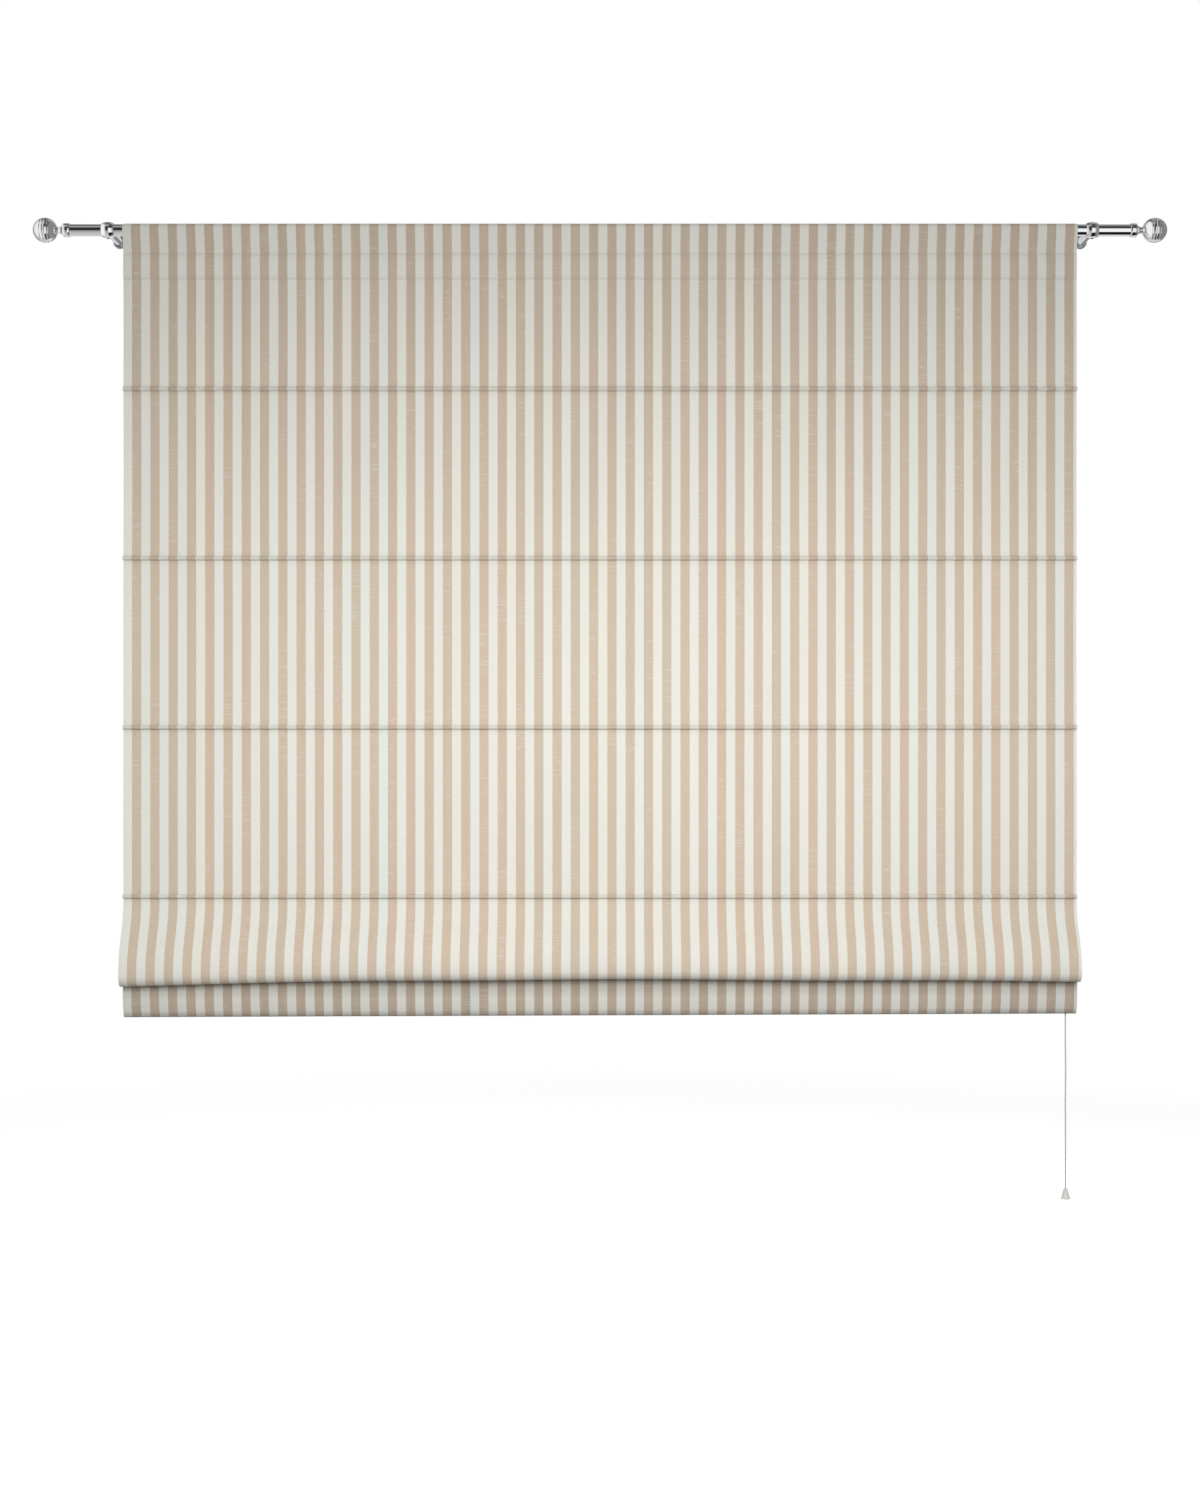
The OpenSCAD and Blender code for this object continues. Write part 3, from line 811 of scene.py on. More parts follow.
def curve(p: Point2, q: Point2, r: Point2, s: Point2, n: int) -> list[Point2]:
    """Gives the points of a cubic curve after its first point.

    Args:
        p: First point.
        q: First handle.
        r: Second handle.
        s: Last point.
        n: Number of steps.

    Returns:
        The points.
    """
    points = []
    for i in range(1, n + 1):
        t = i / n
        k = ((1 - t) ** 3, 3 * (1 - t) ** 2 * t, 3 * (1 - t) * t * t, t**3)
        points.append(tuple(k[0] * p[j] + k[1] * q[j] + k[2] * r[j] + k[3] * s[j] for j in (0, 1)))
    return points


def moved(points: Sequence[Point2], r: float, s: float) -> list[Point2]:
    """Shifts the points of a profile."""
    return [(p + r, q + s) for p, q in points]


def eased(t: np.ndarray) -> np.ndarray:
    """Rises gently from 0 to 1."""
    return t * t * (3 - 2 * t)


class Growth(NodeMaker):
    """A geometry tree with named sizes and a material, which sets one shape on many points."""

    def __init__(self, name: str, sizes: dict[str, float]) -> None:
        """Starts the tree with its inputs.

        Args:
            name: Name of the tree.
            sizes: Names of its number inputs, with their values in metres.
        """
        super().__init__(bpy.data.node_groups.new(name, "GeometryNodeTree"))
        self.sizes = sizes
        self.names: dict[str, str] = {}
        kinds = {"Geometry": "Geometry", **dict.fromkeys(sizes, "Float"), "Material": "Material"}
        for label, kind in kinds.items():
            self.names[label] = self.face(label, "INPUT", kind).identifier
        self.face("Geometry", "OUTPUT", "Geometry")
        self.given = self.node("NodeGroupInput").outputs

    def face(self, label: str, way: str, kind: str) -> bpy.types.NodeTreeInterfaceSocket:
        """Adds an input or an output."""
        return self.tree.interface.new_socket(label, in_out=way, socket_type=f"NodeSocket{kind}")

    def set_on(self, points: Socket, shape: Socket, **sockets: object) -> None:
        """Ends the tree: the shape on each point, made real and dressed.

        Args:
            points: The points.
            shape: The shape.
            sockets: Further inputs of the node that sets it there.
        """
        many = self.node("GeometryNodeInstanceOnPoints", Points=points, Instance=shape, **sockets)
        real = self.node("GeometryNodeRealizeInstances", Geometry=many.outputs[0])
        material = self.given["Material"]
        dressed = self.node("GeometryNodeSetMaterial", Geometry=real.outputs[0], Material=material)
        self.node("NodeGroupOutput", Geometry=dressed.outputs[0])

    def run(self, name: str, base: Object, material: Material) -> Object:
        """Runs the tree on an object and keeps the result as a plain mesh.

        Args:
            name: Name of the piece.
            base: Object that the tree starts from, which is removed.
            material: The piece's material.

        Returns:
            The piece.
        """
        modifier = base.modifiers.new("grow", "NODES")
        modifier.node_group = self.tree
        for label, value in {**self.sizes, "Material": material}.items():
            modifier[self.names[label]] = value
        bpy.context.view_layer.update()
        graph = bpy.context.evaluated_depsgraph_get()
        mesh = bpy.data.meshes.new_from_object(base.evaluated_get(graph))
        base.modifiers.remove(modifier)
        bpy.data.objects.remove(base)
        mesh.name = name
        smooth(mesh, angle=60)
        return linked(name, mesh)


def line_object(points: Sequence[Sequence[float]]) -> Object:
    """Makes a curve object of straight steps through points in metres."""
    data = bpy.data.curves.new("seam", "CURVE")
    data.dimensions = "3D"
    spline = data.splines.new("POLY")
    spline.points.add(len(points) - 1)
    for slot, p in zip(spline.points, points):
        slot.co = (*p, 1.0)
    return linked("seam", data)


@dataclass
class Rod:
    """Chrome tube with its end caps and ball finials. Sizes are in millimetres."""

    depth: float = -75.0  # Where the rod's axis lies in front of the wall.
    end: float = 730.0  # Middle of the rod to the end of its tube.
    radius: float = 8.0  # Outer radius of the tube.
    wall: float = 1.0  # Wall of the tube.
    broken: float = 0.2  # Width of the broken edges.
    spans: int = 24  # Number of steps along the tube.
    cap_wall: float = 1.3  # Wall of an end cap.
    cap_end: float = 1.8  # Thickness of a cap's end.
    cap_cone: float = 7.5  # Length of a cap's cone.
    cap_ease: float = 0.05  # Gap between a cap and the tube.
    sleeve: float = 7.0  # How far a cap reaches over the tube.
    neck: float = 4.2  # Radius of a finial's neck.
    shank: float = 1.0  # Length of that neck.
    stud: float = 2.5  # Radius of a finial's stud.
    stud_length: float = 5.0  # Length of that stud.
    stud_ease: float = 0.02  # Gap around the stud.
    stud_room: float = 0.5  # Gap behind the stud.
    ball: float = 16.8  # Radius of a ball.
    ball_steps: int = 96  # Number of steps from a ball's neck to its end.
    # Where a ball's turned grooves lie, as shares of its radius.
    grooves: tuple[float, ...] = (-0.3, 0.0, 0.3)
    groove_half: float = 0.035  # Half the width of a groove, in radians.
    groove_depth: float = 0.5  # Depth of a groove.
    sides: int = 96  # Number of steps around the tube and a ball.
    cap_sides: int = 72  # Number of steps around a cap.

    # Rounds of a cap's shoulder and mouth, off their outer corners.
    SHOULDER = ((-0.6, 0.0), (-0.2, -0.25), (0.0, -0.7))
    MOUTH = ((0.0, 0.6), (-0.15, 0.2), (-0.5, 0.0))

    def tube_profile(self) -> list[Point2]:
        """Profile of the tube, with its edges just broken."""
        inner, last = self.radius - self.wall, self.end - self.broken
        between = [self.end * (2 * k / self.spans - 1) for k in range(1, self.spans)]
        outside = [(self.radius, s) for s in (-last, *between, last)]
        rim = [(self.radius - self.broken, self.end), (inner + self.broken, self.end), (inner, last)]
        return outside + rim + [(r, -s) for r, s in reversed(rim)]

    def cap_profile(self) -> list[Point2]:
        """Profile of an end cap: a cup over the tube and a cone to the finial."""
        tip = self.cap_end + self.cap_cone
        inner = self.radius + self.cap_ease
        out = inner + self.cap_wall
        bore, foot = self.stud + self.stud_ease, tip - self.stud_length - self.stud_room
        shoulder, mouth = moved(self.SHOULDER, out, self.cap_end), moved(self.MOUTH, out, -self.sleeve)
        hollow = (out - 3.4, self.cap_end + 0.8)
        waist = (self.neck + self.broken, self.cap_end + self.cap_cone / 2)
        flare = curve(shoulder[0], hollow, waist, (self.neck, tip - self.broken), 16)
        return [
            (0, foot), (bore, foot), (bore, tip), (self.neck - self.broken, tip),
            *reversed(flare), *shoulder, *mouth, (inner, -self.sleeve), (inner, 0), (0, 0),
        ]

    def ball_profile(self) -> list[Point2]:
        """Profile of a finial: stud, neck and ball with fine grooves."""
        lap, foot = self.stud_ease, -self.stud_length
        centre = math.sqrt(self.ball**2 - self.neck**2) + self.shank
        points = [(0, foot), (self.stud, foot), (self.stud, lap), (self.neck, lap)]
        cuts = [math.acos(-share) for share in self.grooves]
        first = math.asin(self.neck / self.ball)
        for k in range(self.ball_steps + 1):
            a = first + (math.pi - first) * k / self.ball_steps
            cut = max(0.0, *(1 - abs(a - c) / self.groove_half for c in cuts))
            r = self.ball - self.groove_depth * cut**0.7
            points.append((r * math.sin(a), centre - r * math.cos(a)))
        return points

    def at_end(self, side: Side, profile: Sequence[Point2], start: float, sides: int) -> Mesh:
        """Turns a piece at one end of the rod.

        Args:
            side: The end.
            profile: Its profile, outwards.
            start: Distance from the middle where the profile starts.
            sides: Number of steps around.

        Returns:
            The mesh.
        """
        outwards = [(r, side.value * s) for r, s in profile]
        return turned(outwards, Axis.X, (side.value * start, self.depth, 0), sides)

    def build(self, finishes: Finishes) -> Object:
        """Builds the rod's pieces.

        Args:
            finishes: The blind's materials.

        Returns:
            The tube.
        """
        chrome, satin = finishes["chrome"], finishes["satin_chrome"]
        tip = self.end + self.cap_end + self.cap_cone
        mesh = turned(self.tube_profile(), Axis.X, (0, self.depth, 0), self.sides, ring=True)
        tube = carry(new_piece("rod_tube_polished", mesh, chrome), "chrome", "rod_tube")
        for side in Side:
            cap = self.at_end(side, self.cap_profile(), self.end, self.cap_sides)
            carry(new_piece(f"{side.word}_cap_polished", cap, chrome), "chrome", f"{side.word}_end_cap")
            ball = self.at_end(side, self.ball_profile(), tip, self.sides)
            carry(new_piece(f"{side.word}_ball_satin", ball, satin), "chrome", f"{side.word}_finial")
        return tube


@dataclass
class Brackets:
    """Barrel rings with arms to the wall, and their cover rings. Sizes are in millimetres."""

    out: float = 671.0  # Middle of the rod to a ring's centre.
    depth: float = -75.0  # Where the rod's axis lies.
    bore: float = 8.1  # Radius of a ring's hole.
    crown: float = 11.1  # Outer radius at the middle of a ring.
    edge: float = 9.3  # Outer radius at its sides.
    width: float = 16.5  # Width of a ring.
    ring_edge: Point2 = (0.4, 0.5)  # Width and height of the broken edge of a ring.
    arm: float = 6.0  # Radius of an arm.
    arm_lap: float = 0.9  # How far an arm starts off the ring's hole.
    arm_edge: float = 0.3  # Width of the broken edge of an arm.
    fixing: float = 3.0  # Radius of the hole for the wall bolt.
    fixing_depth: float = 25.0  # Depth of that hole.
    cover: float = 8.8  # Outer radius of a cover ring.
    cover_depth: float = 6.0  # Its depth.
    cover_ease: float = 0.02  # Gap between it and the arm.
    cover_round: float = 1.8  # Radius of its rounded front.
    ring_sides: int = 96  # Number of steps around a ring.
    arm_sides: int = 64  # Number of steps around an arm and a cover ring.

    def ring_profile(self) -> list[Point2]:
        """Profile of a barrel ring."""
        side, rise = self.width / 2, self.crown - self.edge
        big = (side * side + rise * rise) / (2 * rise)
        tilt = math.degrees(math.asin((side - self.ring_edge[0]) / big))
        outer = arc((self.crown - big, 0), big, -tilt, tilt, 24)
        flat = self.edge - self.ring_edge[1]
        return [(self.bore, -side), (flat, -side), *outer, (flat, side), (self.bore, side)]

    def arm_profile(self) -> list[Point2]:
        """Profile of an arm, from inside the ring's wall to the bolt hole at the wall."""
        start, foot = self.depth + self.bore + self.arm_lap, -self.fixing_depth
        return [
            (0, start), (self.arm, start), (self.arm, -self.arm_edge), (self.arm - self.arm_edge, 0),
            (self.fixing, 0), (self.fixing, foot), (0, foot),
        ]

    def cover_profile(self) -> list[Point2]:
        """Profile of a cover ring, with a rounded front."""
        inner, r = self.arm + self.cover_ease, self.cover_round
        front = arc((self.cover - r, r - self.cover_depth), r, 0, -90, 8)
        return [(inner, 0), (self.cover, 0), *front, (inner, -self.cover_depth)]

    def build(self, finishes: Finishes) -> None:
        """Builds the brackets and their cover rings.

        Args:
            finishes: The blind's materials.
        """
        chrome, dull = finishes["chrome"], finishes["dull_chrome"]
        for side in Side:
            x = side.value * self.out
            bm = bmesh.new()
            on_rod, on_wall = (x, self.depth, 0), (x, 0, 0)
            bm.from_mesh(turned(self.ring_profile(), Axis.X, on_rod, self.ring_sides, ring=True))
            bm.from_mesh(turned(self.arm_profile(), Axis.Y, on_wall, self.arm_sides))
            piece = new_piece(f"{side.word}_bracket_polished", closed("bracket", bm), chrome)
            carry(piece, "chrome", f"{side.word}_bracket")
            cover = turned(self.cover_profile(), Axis.Y, on_wall, self.arm_sides, ring=True)
            carry(new_piece(f"{side.word}_cover_dull", cover, dull), "chrome", f"{side.word}_rosette")


@dataclass(frozen=True)
class Wave:
    """A wave across the cloth, in millimetres."""

    height: float  # How far it goes to either side.
    length: float  # Its length.

    def at(self, x: np.ndarray, phase: np.ndarray | float) -> np.ndarray:
        """Gives the wave at places across the cloth, shifted by a phase in radians."""
        return self.height * np.sin(x / self.length * math.tau + phase)


@dataclass
class Cloth:
    """The striped cloth: one sewn sheet on the section of its solid. Sizes are in millimetres."""

    width: float = 1300.0  # Width of the cloth.
    thick: float = 0.8  # Its thickness.
    gap: float = 0.2  # Space between two layers.
    rod_y: float = -75.0  # Where the rod's axis lies.
    rod_loop: float = 8.5  # Radius of the cloth's middle around the rod.
    pocket: float = 33.0  # Rod axis down to the upper stitch line.
    facing: float = 66.0  # Rod axis down to the lower stitch line.
    tail: float = 4.0  # How far the back layer goes on below that line.
    slat_side: float = 2.5  # Middle of the slat to the middle of the cloth.
    slat_half: float = 13.0  # Half the height of the slat, with its ease.
    tucks: tuple[float, ...] = (-217.0, -447.5, -678.0, -908.5)  # Heights of the open tucks.
    loop: float = 2.5  # Radius of the cloth's middle around a batten.
    neck_round: float = 0.6  # Radius where a tuck leaves its panel.
    neck: float = 1.1  # Length of a tuck's neck.
    cord_y: float = -67.0  # Where the lift cords lie.
    turn: Point2 = (4.5, -927.4)  # Radius and height of the turn over the lifted tuck.
    lifted: float = -926.377  # Height of the lifted batten.
    # Centre and radius of the bottom of the hanging fold.
    fold: tuple[float, float, float] = (-95.5, -1009.1, 13.0)
    fold_drop: float = 114.0  # Last open tuck down to the bottom of that fold.
    hem_y: float = -80.0  # Front of the hem.
    hem_centre: Point2 = (-77.95, -1069.05)  # Centre of the turn under the bar.
    hem_turn: float = 2.05  # Radius of that turn.
    bar: float = 20.0  # Height of the bar.
    straight: float = 16.0  # The bar's top up to where the hem hangs straight.
    shut: float = 2.0  # The bar's top up to where its pocket closes.
    swing: float = 0.0078  # How fast the hem's lower part swings back.
    swing_from: float = -1041.0  # Height where it starts to.
    lean: float = 5.0  # How much higher the hem hangs at its right end than at its left.
    lean_full: float = 30.0  # Length above the hem's edge that leans in full.
    sag: float = 2.2  # How far the fold's bottom is lifted in its middle.
    sag_ends: Point2 = (9.0, 2.8)  # How far its left and right ends sag from there.
    still: float = 14.0  # How far from a tuck the panels don't ripple.
    step: float = 8.5  # Distance between points on the panels.
    columns: int = 104  # Number of places across the cloth, between its sides.
    margins: tuple[float, ...] = (0.0, 0.4, 1.5, 5.0)  # Places near a side, as distances from it.
    edge_round: float = 1.5  # Width over which the cloth thins out to a side.
    edge_thin: float = 0.45  # Share of its thickness that is left there.

    # Steps around the rod, a batten, a neck's round, the fold's bottom, the lifted turn and the hem.
    ROD_STEPS, LOOP_STEPS, ROUND_STEPS, FOLD_STEPS, TURN_STEPS, HEM_STEPS = 30, 20, 3, 22, 8, 12

    # Points within which the fold's bottom and then the lifted turn are found.
    DOWN_POINTS, UP_POINTS = 60, 30

    # Share of the section's points that lie on the head and the panels.
    UPPER_SHARE = 0.7

    # Ripples of the panels, billow of the fold and the uneven line of its bottom.
    LONG, SHORT, BILLOW = Wave(0.9, 300.0), Wave(0.4, 131.0), Wave(0.8, 410.0)
    UNEVEN = Wave(0.5, math.tau / 9)

    def __post_init__(self) -> None:
        """Works out the section, its lengths and the rest of what the methods share."""
        self.half = (self.thick + self.gap) / 2
        self.plane_y = self.rod_y - self.half
        self.path = self.section()
        steps = np.linalg.norm(np.diff(self.path, axis=0), axis=1)
        self.run = np.concatenate([[0.0], np.cumsum(steps)])

    def head(self) -> list[Point2]:
        """Section of the head: up behind the slat and the rod, over, and down in front."""
        slat = -(self.pocket + self.facing) / 2
        sewn, pocket = self.rod_y + self.half, self.rod_y + self.slat_side
        back = [
            (sewn, -self.facing - self.tail), (sewn, -self.facing),
            (pocket, slat - self.slat_half), (pocket, slat + self.slat_half), (sewn, -self.pocket),
        ]
        lean = math.degrees(math.atan2(-self.pocket, self.half))
        a = lean + math.degrees(math.acos(self.rod_loop / math.hypot(self.half, self.pocket)))
        over = arc((self.rod_y, 0), self.rod_loop, a, 180 - a, self.ROD_STEPS)
        front = [(2 * self.rod_y - y, z) for y, z in reversed(back[1:])]
        return back + over + front

    def tuck(self, z: float) -> list[Point2]:
        """Section of a tuck at a height: forward through its neck, around the batten and back."""
        a = math.degrees(math.asin(self.half / self.loop))
        y = self.plane_y - self.neck - self.loop * math.cos(math.radians(a))
        r = self.neck_round
        return (
            arc((self.plane_y - r, z + self.half + r), r, 0, -90, self.ROUND_STEPS)
            + arc((y, z), self.loop, a, 360 - a, self.LOOP_STEPS)
            + arc((self.plane_y - r, z - self.half - r), r, 90, 0, self.ROUND_STEPS)
        )

    def hanging_fold(self) -> list[Point2]:
        """Section of the hanging fold: out and down, under, and up behind."""
        y, z, r = self.fold
        top = (self.plane_y, self.tucks[-1] - self.half - self.neck_round)
        turn = (self.cord_y - self.turn[0], self.turn[1])
        reach = self.fold_drop * 0.42
        rise = reach * 0.7
        return (
            curve(top, (top[0], top[1] - reach), (y - r, z + reach), (y - r, z), 20)
            + arc((y, z), r, 180, 360, self.FOLD_STEPS)[1:]
            + curve((y + r, z), (y + r, z + rise), (turn[0], turn[1] - rise), turn, 14)
        )

    def lifted_tuck(self) -> list[Point2]:
        """Section of the lifted tuck: the cloth turns over with its batten inside the turn."""
        r, z = self.turn
        turn_a, loop_a = (math.degrees(math.asin(self.half / radius)) for radius in (r, self.loop))
        return (
            arc((self.cord_y, z), r, 180, 90 + turn_a, self.TURN_STEPS)[1:]
            + arc((self.cord_y, self.lifted), self.loop, 90 + loop_a, 450 - loop_a, self.LOOP_STEPS)
            + arc((self.cord_y, z), r, 90 - turn_a, 0, self.TURN_STEPS)
        )

    def hem(self) -> list[Point2]:
        """Section of the hem: down behind the fold, under the bar and up behind it."""
        y, bar_top = self.hem_y, self.hem_centre[1] + self.bar
        top, low = (self.cord_y + self.turn[0], self.turn[1]), (y, bar_top + self.straight)
        back, layer, shut = y + 2 * self.hem_turn, y + self.thick + self.gap, bar_top + self.shut
        points = (
            curve(top, (top[0], top[1] - 45), (y, low[1] + 35), low, 14)
            + [(y, low[1] - 4.5 * k) for k in range(1, 8)]
            + arc(self.hem_centre, self.hem_turn, 180, 360, self.HEM_STEPS)
            + [(back, shut - 5 * k) for k in (3, 2, 1, 0)]
            + [(layer, shut + 4), (layer, shut + 9)]
        )
        return [(y + self.hem_swing(z), z) for y, z in points]

    def hem_swing(self, z: float) -> float:
        """How far the hem's lower part swings back at a height."""
        return self.swing * max(0.0, self.swing_from - z) ** 2

    def section(self) -> np.ndarray:
        """Joins the section's parts, with even steps on the panels.

        Returns:
            Points of depth and height, in order.
        """
        points = self.head()
        for z in self.tucks:
            points += self.tuck(z)
        points += self.hanging_fold() + self.lifted_tuck() + self.hem()
        out = [points[0]]
        for a, b in zip(points, points[1:]):
            count = max(1, math.ceil(math.dist(a, b) / self.step))
            for k in range(1, count + 1):
                out.append(tuple(p + (q - p) * k / count for p, q in zip(a, b)))
        return np.array(out)

    def at(self, z: float, front: bool = True) -> int:
        """Finds the point of the head or the panels at a height.

        Args:
            z: The height.
            front: Whether the front layer is meant.

        Returns:
            The point's index.
        """
        upper = self.path[: math.ceil(len(self.path) * self.UPPER_SHARE)]
        side = upper[:, 0] < self.rod_y if front else upper[:, 0] > self.rod_y
        return int(np.argmin(np.where(side, np.abs(upper[:, 1] - z), np.inf)))

    def runs(self) -> Runs:
        """Finds where the seams and folds lie along the cloth."""
        y, z, r = self.fold
        off = np.hypot(self.path[:, 0] - y, self.path[:, 1] - z + r)
        seams = [self.at(-drop) for drop in (self.pocket, self.facing)]
        tucks = [self.at(height) for height in self.tucks]
        metres = self.run * MM
        return Runs(
            tuple(metres[seams].tolist()), tuple(metres[tucks].tolist()),
            float(metres[np.argmin(off)]), float(metres[np.argmin(self.path[:, 1])]),
        )

    def across(self) -> np.ndarray:
        """Places of the columns across the cloth, closer together at its sides."""
        near = self.width / 2 - np.array(self.margins)
        inner = np.linspace(-near[-1], near[-1], self.columns)
        return np.concatenate([-near[:-1], inner, near[-2::-1]])

    def shares(self) -> tuple[np.ndarray, np.ndarray, np.ndarray]:
        """Gives, for each point of the section, how much each movement of the cloth moves it.

        Returns:
            Arrays for the panels' ripple, the fold's sag and the hem's lean.
        """
        run, heights = self.run, self.path[:, 1]
        ripple, sag, lean = np.zeros((3, len(run)))
        stops = [self.at(z) for z in (-self.facing, *self.tucks)]
        for a, b in zip(stops, stops[1:]):
            t = (run[a:b] - run[a]) / (run[b] - run[a])
            ripple[a:b] = np.sin(math.pi * t) ** 1.5
        for stop in stops:
            ripple[np.abs(run - run[stop]) < self.still] = 0
        start = stops[-1] + self.LOOP_STEPS // 2 + self.ROUND_STEPS + 1
        bottom = start + int(np.argmin(heights[start:start + self.DOWN_POINTS]))
        turn = bottom + int(np.argmax(heights[bottom:bottom + self.UP_POINTS]))
        sag[start:bottom] = eased((run[start:bottom] - run[start]) / (run[bottom] - run[start]))
        sag[bottom:turn] = eased((run[turn] - run[bottom:turn]) / (run[turn] - run[bottom]))
        behind = self.path[turn:, 0] > self.cord_y + self.turn[0] - 0.01
        first = turn + int(np.argmax(behind))
        length = run[np.argmin(heights)] - run[first] - self.lean_full
        lean[first:] = eased(np.minimum(1.0, (run[first:] - run[first]) / length))
        return ripple, sag, lean

    def hem_lean(self, x: np.ndarray | float) -> np.ndarray | float:
        """How far the hem hangs off its line at a place across the cloth."""
        return x / self.width * self.lean

    def fold_sag(self, x: np.ndarray) -> np.ndarray:
        """How far the hanging fold's bottom hangs off its line."""
        t = 2 * x / self.width
        return self.sag - np.where(t < 0, *self.sag_ends) * t * t + self.UNEVEN.at(t, 0.7)

    def surface(self) -> tuple[np.ndarray, np.ndarray]:
        """Works out both faces of the cloth.

        Returns:
            Grids of points for the front and the back face, in metres.
        """
        x, path = self.across(), self.path
        step = np.diff(path, axis=0)
        step = step / np.linalg.norm(step, axis=1)[:, None]
        both = np.vstack([step[:1], step]) + np.vstack([step, step[-1:]])
        left = np.stack([-both[:, 1], both[:, 0]], axis=1)
        offset = left * 2 / np.sum(left * left, axis=1)[:, None]
        ripple, sag, lean = (share[:, None] for share in self.shares())
        phase = np.cumsum(ripple == 0)[:, None] * 1.7  # Each panel has its own.
        wave = ripple * (self.LONG.at(x, phase * 0.6) + self.SHORT.at(x, phase))
        wave = wave + sag * self.BILLOW.at(x, 1.1)
        drop = sag * self.fold_sag(x) + lean * self.hem_lean(x)
        edge = np.clip((self.width / 2 - np.abs(x)) / self.edge_round, self.edge_thin, 1.0)
        faces = []
        for away in (-self.thick / 2 * edge, self.thick / 2 * edge):
            y = path[:, :1] + offset[:, :1] * away + wave
            z = path[:, 1:] + offset[:, 1:] * away + drop
            faces.append(np.stack([np.broadcast_to(x, y.shape), y, z], axis=2) * MM)
        return faces[0], faces[1]

    def mesh(self) -> Mesh:
        """Builds the closed mesh of both faces, with the cloth's flat coordinates.

        Returns:
            The mesh.
        """
        front, back = self.surface()
        rows, cols = front.shape[:2]
        count = rows * cols
        grid = np.arange(count).reshape(rows, cols)
        corners = [grid[:-1, :-1], grid[:-1, 1:], grid[1:, 1:], grid[1:, :-1]]
        quads = np.stack(corners, axis=2).reshape(-1, 4)
        rim = np.concatenate([grid[:, 0], grid[-1, 1:], grid[:-1, -1][::-1], grid[0, 1:-1][::-1]])
        after = np.roll(rim, -1)
        walls = np.stack([rim, after, after + count, rim + count], axis=1)
        faces = np.concatenate([quads, quads[:, ::-1] + count, walls])
        verts = np.concatenate([front.reshape(-1, 3), back.reshape(-1, 3)])
        mesh = bpy.data.meshes.new("cloth")
        mesh.from_pydata(verts.tolist(), [], faces.tolist())
        flat = np.zeros((2, rows, cols, 3))
        flat[..., 0] = self.across() * MM
        flat[..., 1] = self.run[:, None] * MM
        store = mesh.attributes.new("flat", "FLOAT_VECTOR", "POINT")
        store.data.foreach_set("vector", flat.astype(np.float32).ravel())
        bm = bmesh.new()
        bm.from_mesh(mesh)
        return closed("cloth", bm, angle=50)

    def stitching(self) -> Growth:
        """Builds the tree that sets stitches along a seam.

        Returns:
            The tree.
        """
        sizes = {"Stitch Length": 0.003, "Stitch Pitch": 0.0042, "Thread Diameter": 0.0006}
        tree = Growth("stitches", sizes)
        seam, length, pitch, thread = (tree.given[label] for label in ("Geometry", *sizes))
        points = tree.node("GeometryNodeCurveToPoints", {"mode": "LENGTH"}, Curve=seam, Length=pitch)
        ball = tree.node("GeometryNodeMeshUVSphere", Segments=6, Rings=5, Radius=0.5)
        size = tree.node("ShaderNodeCombineXYZ", X=thread, Y=thread, Z=length)
        stitch = tree.node("GeometryNodeTransform", Geometry=ball.outputs["Mesh"], Scale=size.outputs[0])
        tree.set_on(points.outputs["Points"], stitch.outputs[0], Rotation=points.outputs["Rotation"])
        return tree

    def stitches(self, thread: Material) -> list[Object]:
        """Sets the stitches of the head's two seams and of the hem.

        Args:
            thread: The thread's material.

        Returns:
            The rows of stitches.
        """
        tree, (front, back) = self.stitching(), self.surface()
        lines = {
            "upper_stitches": front[self.at(-self.pocket)],
            "lower_stitches": front[self.at(-self.facing)],
            "upper_stitches_back": back[self.at(-self.pocket, front=False)],
            "lower_stitches_back": back[self.at(-self.facing, front=False)],
            "hem_stitches": back[-3],
        }
        made = []
        for name, row in lines.items():
            seam = line_object(row[2:-2].tolist())
            made.append(carry(tree.run(name, seam, thread), "white_cord"))
        return made

    def build(self, finishes: Finishes, tube: Object) -> None:
        """Builds the cloth and its stitches.

        Args:
            finishes: The blind's materials.
            tube: The tube that the cloth hangs on; not used.
        """
        piece = new_piece("cloth_sheet", self.mesh(), finishes["striped_cloth"])
        cloth = carry(piece, "striped_cloth", "blind_cloth")
        rows = self.stitches(finishes["thread"])


